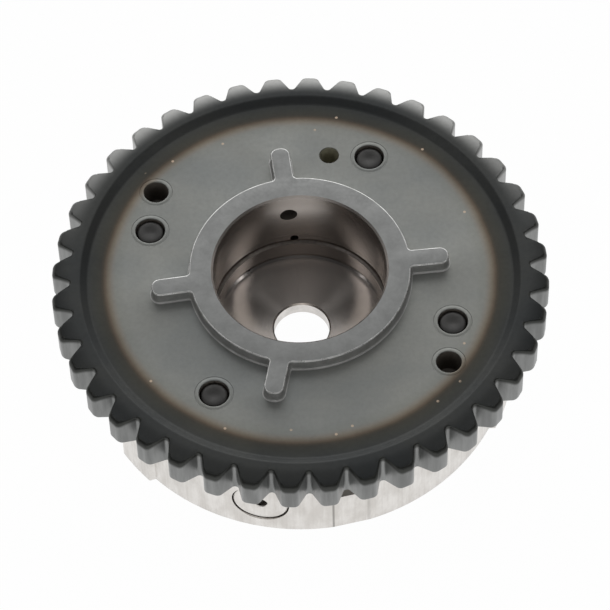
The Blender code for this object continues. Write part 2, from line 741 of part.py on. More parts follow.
def make_lock_sleeve(material):
    """The hardened guide round the lock pin, pressed into the shoe."""
    inner_end = SHOE_RADIUS + SEAT_GAP
    sleeve = turned((
        (SLEEVE_BORE, inner_end),
        (SLEEVE_RADIUS, inner_end),
        (SLEEVE_RADIUS, PIN_BACK),
        (SLEEVE_BORE, PIN_BACK),
    ), BOLT_STEPS, place=along_radius(LOCK_ANGLE, LOCK_HEIGHT), closed=True)
    return make_object("lock_sleeve", sleeve, material)


def make_lock_plug(material):
    """The round plug that closes the lock pin's bore, with its vent hole and spring seat."""
    plug = turned((
        (VENT_RADIUS, PLUG_OUTSIDE),
        (PLUG_RADIUS - EDGE_CHAMFER, PLUG_OUTSIDE),
        (PLUG_RADIUS, PLUG_OUTSIDE - EDGE_CHAMFER),
        (PLUG_RADIUS, PLUG_INSIDE),
        (SPRING_HOLLOW, PLUG_INSIDE),
        (SPRING_HOLLOW, PLUG_INSIDE + SPRING_SEAT_DEPTH),
        (VENT_RADIUS, PLUG_INSIDE + SPRING_SEAT_DEPTH),
    ), SMALL_STEPS, place=along_radius(LOCK_ANGLE, LOCK_HEIGHT), closed=True)
    return make_object("lock_plug", plug, material)


def make_lock_spring(material):
    """The lock pin's coil spring: a round wire swept along a helix from pin to plug."""
    first = PIN_HOLLOW_FLOOR + SEAT_GAP + WIRE_RADIUS
    last = PLUG_INSIDE + SPRING_SEAT_DEPTH - SEAT_GAP - WIRE_RADIUS
    steps = round(SPRING_TURNS * 10)
    sides = 5
    place = along_radius(LOCK_ANGLE, LOCK_HEIGHT)
    shape = bmesh.new()
    rings = []
    for step in range(steps + 1):
        angle = 2 * math.pi * SPRING_TURNS * step / steps
        height = first + (last - first) * step / steps
        outward = Vector((math.cos(angle), math.sin(angle), 0))
        ring = []
        for side in range(sides):
            turn = 2 * math.pi * side / sides
            offset = outward * math.cos(turn) + Vector((0, 0, 1)) * math.sin(turn)
            point = outward * SPRING_RADIUS + Vector((0, 0, height)) + offset * WIRE_RADIUS
            ring.append(shape.verts.new(place @ point))
        rings.append(ring)
    shape.faces.new(rings[0])
    shape.faces.new(list(reversed(rings[-1])))
    for lower, upper in zip(rings, rings[1:]):
        for side in range(sides):
            after = (side + 1) % sides
            shape.faces.new((lower[side], lower[after], upper[after], upper[side]))
    return make_object("lock_spring", shape, material)


def add_joint_empty(name, place, children):
    """An empty on a joint's axis that carries the pieces which move together."""
    empty = bpy.data.objects.new(name, None)
    bpy.context.scene.collection.objects.link(empty)
    empty.matrix_world = place
    for child in children:
        child.parent = empty
        child.matrix_parent_inverse = place.inverted()


def build():
    """Make every piece of the phaser and put the moving ones on their joint axes."""
    clear_scene()
    steel = finish_material("machined_steel", (0.17, 0.17, 0.165), 0.42, 0.9)
    alloy = finish_material("cast_alloy", (0.60, 0.58, 0.56), 0.38, 0.85)
    sintered = finish_material("sintered_steel", (0.12, 0.105, 0.10), 0.5, 0.85)
    dark = finish_material("black_bolt_steel", (0.03, 0.03, 0.032), 0.4, 0.7)
    hard = finish_material("ground_steel", (0.45, 0.45, 0.45), 0.25, 1.0)
    spring = finish_material("spring_steel", (0.30, 0.30, 0.31), 0.3, 1.0)
    polymer = finish_material("seal_polymer", (0.035, 0.032, 0.03), 0.55, 0.0)

    make_sprocket(steel)
    make_case(alloy)
    rotor = make_rotor(sintered)
    make_front_cover(steel)
    for number, bolt in enumerate(SHOES, 1):
        make_case_bolt(number, bolt[0], dark)
    for number, (_, _, seal) in enumerate(shoe_spans(), 1):
        make_seal_pair("shoe", number, seal, HUB_RADIUS + SEAT_GAP, -1, polymer, spring)
    riding = [rotor]
    for number, (_, _, middle) in enumerate(vane_spans(), 1):
        riding += make_seal_pair("vane", number, middle, CHAMBER_RADIUS - SEAT_GAP, 1, polymer, spring)
    pin = make_lock_pin(hard)
    make_lock_sleeve(hard)
    make_lock_plug(alloy)
    make_lock_spring(spring)
    add_joint_empty("rotor_turn", Matrix.Translation((0, 0, CASE_BASE)), riding)
    add_joint_empty("lock_pin_slide", along_radius(LOCK_ANGLE, LOCK_HEIGHT), [pin])


build()
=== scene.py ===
"""Looks of the cam phaser: fine surfaces in place of the plain solids, worked metals, light and camera.

Shapes are worked out in millimetres and become metres when a mesh is made. The turning axis is the Z axis,
and the part stands on its case bolt heads at z = 0. Outlines are complex numbers, x + iy.
"""

import math

import bmesh
import bpy
import numpy as np
from mathutils import Matrix, Vector
from mathutils.geometry import delaunay_2d_cdt


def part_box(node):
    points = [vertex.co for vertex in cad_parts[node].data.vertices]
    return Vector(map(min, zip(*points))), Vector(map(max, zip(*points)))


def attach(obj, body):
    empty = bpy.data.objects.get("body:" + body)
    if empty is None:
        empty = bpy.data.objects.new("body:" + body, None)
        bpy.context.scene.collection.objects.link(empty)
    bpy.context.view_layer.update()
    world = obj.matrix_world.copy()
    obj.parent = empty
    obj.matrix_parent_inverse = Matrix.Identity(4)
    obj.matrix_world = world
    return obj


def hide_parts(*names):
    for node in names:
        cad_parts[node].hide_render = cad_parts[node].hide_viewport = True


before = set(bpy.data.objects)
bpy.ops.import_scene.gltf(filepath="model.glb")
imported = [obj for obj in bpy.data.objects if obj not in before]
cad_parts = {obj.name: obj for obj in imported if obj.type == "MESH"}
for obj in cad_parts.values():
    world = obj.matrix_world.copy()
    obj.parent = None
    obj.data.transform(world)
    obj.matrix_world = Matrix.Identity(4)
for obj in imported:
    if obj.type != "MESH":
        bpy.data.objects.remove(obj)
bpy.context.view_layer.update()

MM = 0.001
TURN = 2 * math.pi

# Edges sharper than this angle in degrees stay sharp, and points this near to each other in metres are one
SHARP_ANGLE = 28
JOIN_REACH = 4e-7

# Gaps and small edges, as in the solids
SEAT_GAP = 0.3
EDGE = 0.3

# Sprocket teeth, for a toothed chain
CHAIN_PITCH = 8.0
TOOTH_COUNT = 40
TOOTH_PHASE = 5.15
TIP_OUTSET = 0.2
TOOTH_HEIGHT = 4.1
TIP_LAND = 3.05
TOOTH_FOOT = 6.7
TIP_ROUND = 1.3
ROOT_ROUND = 0.8
TIP_DROP = 1.05
TIP_RADIUS = CHAIN_PITCH / 2 / math.sin(math.pi / TOOTH_COUNT) + TIP_OUTSET
ROOT_RADIUS = TIP_RADIUS - TOOTH_HEIGHT

# Rim, plate, boss and bore of the sprocket
RIM_LAND = 1.6
RIM_BEVEL = 1.85
RIM_WIDTH = 8.8
RIM_RISE = 0.86
BORE_RADIUS = 17.85
BOSS_WALL = 4.95
BOSS_RISE = 2.75
LOBE_REACH = 7.9
LOBE_WIDTH = 4.1
LOBE_FILLET = 1.2
LOBE_END_ROUND = 1.8
LOBE_ANGLES = (4.2, 96.8, 187.2, 258.2)
BOSS_RADIUS = BORE_RADIUS + BOSS_WALL

# Holes in the plate
FEED_RADIUS = 1.83
FEED_DEPTH = 7.5
FEED_DROP = 3.5
FEED_ANGLE = 96.5
DOWEL_RADIUS = 2.55
DOWEL_CIRCLE = 36.9
DOWEL_ANGLES = (143.2, 323.2)
GAUGE_RADIUS = 2.0
GAUGE_CIRCLE = 31.0
GAUGE_ANGLE = 77.2
BLIND_DEPTH = 6.5
DRILL_SLOPE = 0.6

# Case, and for each shoe its bolt angle, the degrees of shoe before and after it, and the way to its seal
CASE_RADIUS = 43.7
CASE_WALL = 5.2
CORNER_FILLET = 1.2
SHOE_ROUND = 0.5
CASE_EDGE = 0.25
LUG_ANGLES = (98.0, 218.0, 338.0)
LUG_WIDTH = 8.6
LUG_RISE = 1.2
LUG_SLANT = 1.0
FLAT_ANGLE = 282.0
FLAT_WIDTH = 7.7
NOTCH_ANGLE = 280.6
NOTCH_WIDTH = 6.2
NOTCH_DROP = 5.4
NOTCH_DEPTH = 3.0
NOTCH_ROUND = 0.6
SHOES = (
    (62.6, 11.0, 18.0, 10.9),
    (158.1, 19.0, 11.0, -10.9),
    (237.1, 18.0, 37.0, -10.9),
    (338.2, 20.0, 11.0, -10.9),
)

# Rotor
SEAT_RADIUS = BORE_RADIUS - 0.15
SEAT_DEPTH = 7.9
HUB_RADIUS = 24.5
WEB_THICKNESS = 3.3
NECK_RADIUS = 5.84
RECESS_RADIUS = 13.0
MOUTH_STEP = 0.6
MOUTH_DEPTH = 2.4
RELIEF_STEP = 0.5
RELIEF_HEIGHT = 1.6
DRILL_RADIUS = 0.9
RELIEF_DRILL_RADIUS = 0.6
DRILL_MARGIN = 4.0
LOCK_HOLE_DEPTH = 4.2
TRAVEL = 25.0
VANE_PLAY = (4.0, 2.5, 0.8, 5.0)
TIP_CLEARANCE = 0.6
SHOE_RADIUS = HUB_RADIUS + TIP_CLEARANCE
CHAMBER_RADIUS = CASE_RADIUS - CASE_WALL
VANE_RADIUS = CHAMBER_RADIUS - TIP_CLEARANCE
SLOT_WIDTH = 2.6
SLOT_DEPTH = 3.7

# Degrees that an arc of the chambers' or the vanes' outline keeps from a round, a slot and a filleted foot
ROUND_MARGIN = 2.0
SLOT_MARGIN = 0.5
FOOT_MARGIN = 4.5

# Bolts, plug, pin and cover
BOLT_CIRCLE = 33.2
BOLT_RADIUS = 2.75
BOLT_HOLE = BOLT_RADIUS + SEAT_GAP
BOLT_RECESS = 0.5
THREAD_PITCH = 1.0
THREAD_DEPTH = 0.3
HEX_APOTHEM = 4.0
HEAD_HEIGHT = 5.0
FLANGE_RADIUS = 6.3
FLANGE_HEIGHT = 1.2
LOCK_ANGLE = 257.3
PIN_RADIUS = 3.3
SLEEVE_RADIUS = 4.7
PLUG_RADIUS = 5.65
PLUG_THICKNESS = 3.2
PLUG_OUTSIDE = CASE_RADIUS - 0.3
VENT_RADIUS = 1.4
COVER_RADIUS = 41.0
COVER_HOLE = RECESS_RADIUS + 1.5

# A bright screen behind the part: light by the nearness of a direction to the screen's middle
SCREEN_SLOPE = 26
SCREEN = ((-1.0, 1.1), (-0.58, 1.0), (-0.46, 0.4), (-0.36, 0.05), (0.4, 0.05), (0.6, 0.12), (0.73, 0.3),
          (0.8, 0.42), (0.84, 0.6), (0.884, 1.35), (0.92, 1.9), (0.96, 1.95), (1.0, 1.8))

# The room: light by the Z of a direction, and the brightest light of all
ROOM = ((0.0, 1.0), (0.06, 0.85), (0.2, 0.0), (0.88, 0.0), (0.97, 0.65), (1.0, 0.65))
BRIGHTEST = 2.0

# Lamps at both sides, in degrees and metres, and the floor
LAMPS = (("left_softbox", 176), ("right_softbox", 0))
LAMP_ELEVATION = 56
LAMP_DISTANCE = 1.3
LAMP_SIZE = 0.34
LAMP_LEVEL = 2.4
FLOOR_REACH = 1.5
FLOOR_GREY = 0.82
FLOOR_GLOW = 0.985
WHITE = (1.0, 1.0, 1.0, 1.0)


def span(node):
    """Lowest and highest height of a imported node, in millimetres."""
    low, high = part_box(node)
    return low.z / MM, high.z / MM


# Heights, taken from the frame
COVER_BASE, COVER_TOP = span("front_cover")
CASE_BASE, CASE_TOP = span("case")
PLATE_BASE, BOSS_TOP = span("sprocket")
FACE = BOSS_TOP - BOSS_RISE
RIM_TOP = FACE + RIM_RISE
RIM_BASE = RIM_TOP - RIM_WIDTH
SEAT_FLOOR = CASE_TOP - SEAT_DEPTH
WEB_BASE = SEAT_FLOOR - WEB_THICKNESS
BOLT_TIP = FACE - BOLT_RECESS


class Shell:
    """Patches of one closed surface, gathered until they are joined into a mesh."""

    def __init__(self):
        self.points = []
        self.corners = []
        self.sizes = []
        self.slots = []
        self.count = 0

    def add(self, points, faces, slot=0):
        """Take in points (n, 3) and faces (m, 3 or 4) that index them."""
        self.points.append(np.asarray(points, float))
        self.corners.append((np.asarray(faces) + self.count).ravel())
        self.sizes.append(np.full(len(faces), faces.shape[1]))
        self.slots.append(np.full(len(faces), slot))
        self.count += len(points)

    def skin(self, loops, slot=0, keep=None):
        """Quads between closed loops of equally many points, given as an array (rows, columns, 3)."""
        rows, columns = loops.shape[:2]
        index = np.arange(rows * columns).reshape(rows, columns)
        index = np.concatenate([index, index[:, :1]], axis=1)
        quads = np.stack([index[:-1, :-1], index[:-1, 1:], index[1:, 1:], index[1:, :-1]], axis=-1)
        quads = quads.reshape(-1, 4) if keep is None else quads[keep]
        self.add(loops.reshape(-1, 3), quads, slot)

    def flat(self, height, loops, slot=0):
        """A level face between closed loops: Delaunay triangles, those outside or in a hole dropped."""
        outlines = [loop[:, 0] + 1j * loop[:, 1] for loop in loops]
        starts = np.concatenate(outlines)
        rings = np.split(np.arange(len(starts)), np.cumsum([len(outline) for outline in outlines])[:-1])
        following = np.concatenate([np.roll(ring, -1) for ring in rings])
        edges = np.stack([np.concatenate(rings), following], axis=1).tolist()
        plan = [Vector((z.real, z.imag)) for z in starts]
        points, _, faces = delaunay_2d_cdt(plan, edges, [], 0, 1e-6)[:3]
        points = np.array([tuple(point) for point in points])
        faces = np.array([face[:] for face in faces])
        middles = points[faces].mean(axis=1)
        inside = inside_outlines(middles[:, 0] + 1j * middles[:, 1], starts, starts[following])
        levels = np.full((len(points), 1), height)
        self.add(np.concatenate([points, levels], axis=1), faces[inside], slot)

    def slab(self, walls, low, high):
        """Upright walls, and the two level faces that close them below and above."""
        for wall in walls:
            self.skin(wall)
        for height, row in ((low, 0), (high, -1)):
            self.flat(height, [wall[row] for wall in walls])

    def shape(self, name, materials=()):
        """An object of the patches, joined where they meet and with their faces turned outwards."""
        mesh = bpy.data.meshes.new(name)
        points = np.concatenate(self.points) * MM
        corners = np.concatenate(self.corners)
        sizes = np.concatenate(self.sizes)
        mesh.vertices.add(len(points))
        mesh.vertices.foreach_set("co", points.ravel())
        mesh.loops.add(len(corners))
        mesh.loops.foreach_set("vertex_index", corners)
        mesh.polygons.add(len(sizes))
        mesh.polygons.foreach_set("loop_start", np.cumsum(sizes) - sizes)
        mesh.polygons.foreach_set("loop_total", sizes)
        mesh.polygons.foreach_set("material_index", np.concatenate(self.slots))
        mesh.update(calc_edges=True)
        for material in materials:
            mesh.materials.append(material)
        join_and_orient(mesh)
        return new_object(name, mesh)

    def finish(self, materials, body, replaced, slot):
        """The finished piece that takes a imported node's place in the frame."""
        piece = self.shape(replaced + "_finished", materials)
        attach(piece, body)
        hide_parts(replaced)
        return piece


def new_object(name, data):
    """A new object in the scene."""
    made = bpy.data.objects.new(name, data)
    bpy.context.scene.collection.objects.link(made)
    return made


def smooth(mesh):
    """Shade smooth between sharp edges."""
    mesh.shade_smooth()
    mesh.set_sharp_from_angle(angle=math.radians(SHARP_ANGLE))


def join_and_orient(mesh):
    """Merge doubled points, point the faces outwards and shade them."""
    shape = bmesh.new()
    shape.from_mesh(mesh)
    bmesh.ops.remove_doubles(shape, verts=shape.verts, dist=JOIN_REACH)
    bmesh.ops.dissolve_degenerate(shape, edges=shape.edges, dist=JOIN_REACH / 2)
    bmesh.ops.recalc_face_normals(shape, faces=shape.faces)
    shape.to_mesh(mesh)
    shape.free()
    smooth(mesh)


def inside_outlines(points, starts, ends):
    """Even-odd rule: inside where a ray to the right crosses the outlines' edges an odd number of times."""
    crossings = np.zeros(len(points), int)
    step = 500
    rise = np.where(ends.imag == starts.imag, 1.0, ends.imag - starts.imag)
    for first in range(0, len(points), step):
        part = points[first:first + step, None]
        spans = (starts.imag > part.imag) != (ends.imag > part.imag)
        meets = starts.real + (part.imag - starts.imag) / rise * (ends.real - starts.real)
        crossings[first:first + step] = (spans & (meets > part.real)).sum(axis=1)
    return crossings % 2 == 1


def direction(degrees):
    """Unit complex number at an angle."""
    return np.exp(1j * np.radians(degrees))


def circle(count, phase):
    """Points evenly round a circle of radius 1, the first at an angle in degrees."""
    return np.exp(1j * (TURN * np.arange(count) / count + math.radians(phase)))


def fillet(corners, radii, steps=9):
    """A closed outline whose corners are tangent arcs: points, and outward normals at them.

    At each corner the arc's middle lies on the bisector at radius / sin(half the angle). It starts and
    ends where it touches the two sides. A corner of radius 0 stays a point, with the bisector as normal.
    """
    most_of_side = 0.48
    corners = np.asarray(corners)
    radii = np.asarray(radii, float)
    before = np.roll(corners, 1) - corners
    after = np.roll(corners, -1) - corners
    towards, onwards = before / abs(before), after / abs(after)
    half = np.arccos(np.clip((towards * onwards.conj()).real, -1, 1)) / 2
    reach = np.minimum(radii / np.tan(half), most_of_side * np.minimum(abs(before), abs(after)))
    radii = reach * np.tan(half)
    way = towards + onwards
    flat = abs(way) < 1e-9
    bisector = np.where(flat, 1j * towards, way / np.where(flat, 1, abs(way)))
    middles = corners + bisector * radii / np.sin(half)
    first = towards * reach + corners - middles
    last = onwards * reach + corners - middles
    turn = (-towards * onwards.conj()).imag
    arced = radii > 0
    sweep = np.where(arced, np.angle(last / np.where(arced, first, 1)), 0.0)
    share = np.linspace(0, 1, steps)
    spokes = first[:, None] * np.exp(1j * sweep[:, None] * share)
    points = middles[:, None] + spokes
    side = np.where(arced, np.sign(sweep), np.where(turn < 0, 1, -1))
    arms = np.where(arced[:, None], spokes, -bisector[:, None])
    normals = side[:, None] * arms / abs(arms)
    keep = arced[:, None] | (np.arange(steps) == 0)
    return points[keep], normals[keep]


def arc(radius, start, end, step=0.75):
    """Points along an arc about the axis, both ends included."""
    count = max(2, round(abs(end - start) / step) + 1)
    return radius * direction(np.linspace(start, end, count))


def chain(parts):
    """Corners and their radii, from (points, radius) pairs."""
    corners = [np.atleast_1d(points) for points, _ in parts]
    radii = [np.full(len(np.atleast_1d(points)), radius) for points, radius in parts]
    return np.concatenate(corners), np.concatenate(radii)


def evenly(outline, count):
    """The same closed outline with points evenly along it, and its normals there."""
    points, normals = outline
    ring = np.append(points, points[0])
    turned_normals = np.append(normals, normals[0])
    way = np.concatenate([[0], np.cumsum(abs(np.diff(ring)))])
    at = way[-1] * np.arange(count) / count
    even = np.interp(at, way, ring.real) + 1j * np.interp(at, way, ring.imag)
    normal = np.interp(at, way, turned_normals.real) + 1j * np.interp(at, way, turned_normals.imag)
    return even, normal / abs(normal)


def raised(plan, heights):
    """Points (x, y, z) from a plan of complex numbers and the heights that go with it."""
    return np.stack([plan.real, plan.imag, np.broadcast_to(heights, plan.shape)], axis=-1)


def swept(outline, profile):
    """A profile of (offset, height) rows carried along an outline: each row is the outline moved outwards."""
    points, normals = outline
    offsets, heights = np.array(profile, float).T
    return raised(points + offsets[:, None] * normals, heights[:, None])


def upright(outline, low, high):
    """An outline's wall from one height to another."""
    return swept(outline, [(0.0, low), (0.0, high)])


def turned(profile, count, centre=0j, phase=0.0):
    """A profile of (radius, height) rows turned about an upright axis."""
    radii, heights = np.array(profile, float).T
    return raised(centre + radii[:, None] * circle(count, phase), heights[:, None])


def quarter(offset, height, radius, start, end, steps=5):
    """Rows (offset, height) along an arc about a middle point, from one angle to another."""
    angles = np.radians(np.linspace(start, end, steps))
    return list(zip(offset + radius * np.cos(angles), height + radius * np.sin(angles)))


def laid(loops, degrees, height):
    """Loops turned about Z, laid over so that their axis runs out along a radius at a height."""
    x, y, z = np.moveaxis(loops, -1, 0)
    return raised((z + 1j * y) * direction(degrees), height - x)


def cut(piece, tools):
    """Take closed shapes away from a piece with an exact Boolean, and keep the result as its mesh."""
    for tool in tools:
        boolean = piece.modifiers.new("cut", "BOOLEAN")
        boolean.operation = "DIFFERENCE"
        boolean.solver = "EXACT"
        boolean.object = tool
    depsgraph = bpy.context.evaluated_depsgraph_get()
    result = bpy.data.meshes.new_from_object(piece.evaluated_get(depsgraph))
    piece.modifiers.clear()
    piece.data = result
    for tool in tools:
        bpy.data.objects.remove(tool, do_unlink=True)
    smooth(result)


def cutter(loops):
    """A closed cutter from loops, whose two ends are drawn to a point."""
    ends = [np.broadcast_to(loops[end].mean(axis=0), loops[end].shape)[None] for end in (0, -1)]
    shell = Shell()
    shell.skin(np.concatenate([ends[0], loops, ends[1]]))
    return shell.shape("cutter")


def next_after(first, later):
    """The later of two angles, a turn further on where it is the smaller."""
    return later + 360 if later < first else later


def shoe_spans():
    """Start angle, end angle and seal angle of each shoe of the case."""
    return [(bolt - before, bolt + after, bolt + seal) for bolt, before, after, seal in SHOES]


def vane_spans():
    """Start angle, end angle and middle of each vane: the space between shoes, less the travel."""
    shoes = shoe_spans()
    spans = []
    for index, play in enumerate(VANE_PLAY):
        wall = shoes[index][1]
        next_wall = next_after(wall, shoes[(index + 1) % len(shoes)][0])
        middle = (wall + next_wall) / 2
        half = (next_wall - wall - TRAVEL) / 2 - play
        spans.append((middle - half, middle + half, middle))
    return spans


def slot_corners(middle, mouth, floor):
    """Four corners of a seal slot that opens at one radius and ends at another."""
    across = np.array([-0.5, -0.5, 0.5, 0.5]) * SLOT_WIDTH
    along = np.array([mouth, floor, floor, mouth])
    return (along + 1j * across) * direction(middle)


def bolt_holes(low, high):
    """The walls of the four bolt holes, from one height to another."""
    rows = [(BOLT_HOLE, low), (BOLT_HOLE, high)]
    return [turned(rows, 48, BOLT_CIRCLE * direction(shoe[0])) for shoe in SHOES]


def finger_outline(spans, foot, tip, slot_floor):
    """A round outline with radial fingers, a seal slot in each tip. The foot, tip and floor are radii."""
    slot_half = math.degrees(SLOT_WIDTH / 2 / tip)
    parts = []
    for index, (start, end, slot) in enumerate(spans):
        following = next_after(end, spans[(index + 1) % len(spans)][0])
        parts += [
            (foot * direction(start), CORNER_FILLET),
            (tip * direction(start), SHOE_ROUND),
            (arc(tip, start + ROUND_MARGIN, slot - slot_half - SLOT_MARGIN), 0.0),
            (slot_corners(slot, tip, slot_floor), 0.0),
            (arc(tip, slot + slot_half + SLOT_MARGIN, end - ROUND_MARGIN), 0.0),
            (tip * direction(end), SHOE_ROUND),
            (foot * direction(end), CORNER_FILLET),
            (arc(foot, end + FOOT_MARGIN, following - FOOT_MARGIN), 0.0),
        ]
    return fillet(*chain(parts))


def tooth_outline():
    """Teeth whose straight flanks run on to meet midway between them, with all corners rounded.

    A flank leaves the tip at half the land and spreads by half of foot less land over the tooth's height.
    It meets the next tooth's where its distance from the tooth's middle is radius * tan(half a pitch).
    """
    spread = (TOOTH_FOOT - TIP_LAND) / 2 / TOOTH_HEIGHT
    half_pitch = math.tan(math.pi / TOOTH_COUNT)
    meeting = (TIP_LAND / 2 + TIP_RADIUS * spread) / (half_pitch + spread)
    half_land = 0.5j * TIP_LAND
    tooth = np.array([TIP_RADIUS - half_land, TIP_RADIUS + half_land, meeting * (1 + 1j * half_pitch)])
    turns = direction(TOOTH_PHASE + 360 / TOOTH_COUNT * np.arange(TOOTH_COUNT))
    rounds = np.tile([TIP_ROUND, TIP_ROUND, ROOT_ROUND], TOOTH_COUNT)
    return fillet((tooth * turns[:, None]).ravel(), rounds)


def boss_outline():
    """A ring with four round-ended lobes: arcs of the ring between the lobes' filleted sides."""
    foot = math.sqrt(BOSS_RADIUS ** 2 - (LOBE_WIDTH / 2) ** 2)
    end = BOSS_RADIUS + LOBE_REACH
    margin = 0.4
    half = math.degrees(math.asin((LOBE_WIDTH / 2 + LOBE_FILLET) / BOSS_RADIUS)) + margin
    parts = []
    for index, middle in enumerate(LOBE_ANGLES):
        turn = direction(middle)
        side = 1j * LOBE_WIDTH / 2
        following = next_after(middle, LOBE_ANGLES[(index + 1) % len(LOBE_ANGLES)])
        parts += [
            ((foot - side) * turn, LOBE_FILLET),
            ((end - side) * turn, LOBE_END_ROUND),
            ((end + side) * turn, LOBE_END_ROUND),
            ((foot + side) * turn, LOBE_FILLET),
            (arc(BOSS_RADIUS, middle + half, following - half), 0.0),
        ]
    return evenly(fillet(*chain(parts), 15), 1200)


def fall(radius):
    """How far the teeth's faces have fallen away at a radius: a parabola from the root to the tip."""
    brow = ROOT_RADIUS - EDGE
    return TIP_DROP * (np.maximum(radius - brow, 0) / (TIP_RADIUS - brow)) ** 2


def hole_mouth(radius):
    """A hole's mouth from the face in: a fine groove left by the tool, a ring and a small round."""
    groove, width, depth, step, brow = radius + 0.78, 0.15, 0.06, 0.03, 0.16
    return [
        (groove + width, FACE),
        (groove + width / 2, FACE - depth),
        (groove - width / 2, FACE - depth),
        (groove - width, FACE - step),
        (radius + brow + 0.1, FACE - step),
        *quarter(radius + brow, FACE - step - brow, brow, 90, 180),
    ]


def add_holes(shell, face, drilled, gauged):
    """The bolt holes, which come first and go through, and the blind holes of the sprocket's plate."""
    holes = []
    for shoe in SHOES:
        centre = BOLT_CIRCLE * direction(shoe[0])
        loops = turned([*hole_mouth(BOLT_HOLE), (BOLT_HOLE, PLATE_BASE)], 96, centre)
        shell.skin(loops[:-1], face)
        shell.skin(loops[-2:], drilled)
        holes.append(loops)
    gauge_mouth = [(GAUGE_RADIUS + 0.1, FACE), (GAUGE_RADIUS, FACE - 0.1)]
    blind = [(hole_mouth(DOWEL_RADIUS), DOWEL_CIRCLE, angle, drilled) for angle in DOWEL_ANGLES]
    blind.append((gauge_mouth, GAUGE_CIRCLE, GAUGE_ANGLE, gauged))
    for mouth, place, angle, wall in blind:
        radius = mouth[-1][0]
        floor = FACE - BLIND_DEPTH
        rows = [*mouth, (radius, floor), (0.0, floor - radius * DRILL_SLOPE)]
        loops = turned(rows, 96, place * direction(angle))
        shell.skin(loops[:-2], face)
        shell.skin(loops[-3:], wall)
        holes.append(loops)
    return holes


def make_sprocket(materials):
    """The sprocket: one closed surface of swept edges, turned walls and level faces."""
    face, flank, boss, bore, drilled, highlit_edge, gauged, rough = range(8)
    shell = Shell()
    teeth = tooth_outline()
    spokes = teeth[0] / abs(teeth[0])
    axis = 0 * spokes

    def levels(radius, heights):
        return raised(np.atleast_2d(radius) * spokes, heights)

    base_round, step_fillet = 0.35, 0.4
    root_brow, tip_brow = 0.45, 0.85
    up_the_tooth = np.clip((abs(teeth[0]) - ROOT_RADIUS) / TOOTH_HEIGHT, 0, 1)
    top_round = root_brow + (tip_brow - root_brow) * up_the_tooth
    step_wall = swept((axis, spokes), [
        (CASE_RADIUS - EDGE, PLATE_BASE),
        (CASE_RADIUS, PLATE_BASE + EDGE),
        *quarter(CASE_RADIUS + step_fillet, RIM_BASE - step_fillet, step_fillet, 180, 90),
    ])
    under = abs(teeth[0] - base_round * teeth[1])
    shares = np.linspace(0, 1, 9)[1:-1, None]
    inner_radius = CASE_RADIUS + step_fillet
    radii = inner_radius + shares * (under - inner_radius)
    underside = levels(radii, RIM_BASE + fall(radii))
    angles = np.radians(np.linspace(0, 90, 10))[:, None]

    def tooth_edge(level, inwards, size):
        plan = teeth[0] + size * (np.cos(angles) - 1) * teeth[1]
        return raised(plan, level + inwards * fall(abs(plan)) + inwards * size * (1 - np.sin(angles)))

    base_edge = tooth_edge(RIM_BASE, 1, base_round)[::-1]
    top_edge = tooth_edge(RIM_TOP, -1, top_round)
    dish = ROOT_RADIUS - RIM_LAND
    land_edge = dish + 0.4
    shares = np.linspace(0, 1, 12)[1:, None]
    brow = np.hypot(top_edge[-1, :, 0], top_edge[-1, :, 1])
    radii = brow + shares * (land_edge - brow)
    top = levels(radii, RIM_TOP - fall(radii))
    slant = math.degrees(math.atan(RIM_RISE / RIM_BEVEL))
    crest_round, hollow_round = 1.1, 1.4
    bevel = swept((axis, spokes), [
        *quarter(dish + 0.12, RIM_TOP - crest_round, crest_round, 90, 90 + slant, 6),
        *quarter(dish - RIM_BEVEL - 0.2, FACE + hollow_round, hollow_round, -90 + slant, -90, 6),
    ])
    shell.skin(np.concatenate([step_wall, underside, base_edge, top_edge]), flank)
    shell.skin(np.concatenate([top_edge[-1:], top, bevel]), face)

    edge = boss_outline()
    foot_round, brow_round = 0.35, 0.28
    boss_wall = swept(edge, [
        *quarter(foot_round, FACE + foot_round, foot_round, 270, 180, 7),
        *quarter(-brow_round, BOSS_TOP - brow_round, brow_round, 0, 90, 7),
    ])
    shell.skin(boss_wall[:8], rough)
    # Painted highlight: the boss's top edge round takes a much lighter steel than its top, so it reads as a
    # bright line
    shell.skin(boss_wall[7:], highlit_edge)

    holes = add_holes(shell, face, drilled, gauged)
    shell.flat(FACE, [bevel[-1], boss_wall[0]] + [loops[0] for loops in holes], face)
    bore_wall = add_bore(shell, bore, drilled)
    shell.flat(BOSS_TOP, [boss_wall[-1], bore_wall[0]], boss)
    through = [loops[-1] for loops in holes[:len(SHOES)]]
    shell.flat(PLATE_BASE, [step_wall[0], bore_wall[-1]] + through, flank)
    return shell.finish(materials, "housing", "sprocket", "machined_steel")


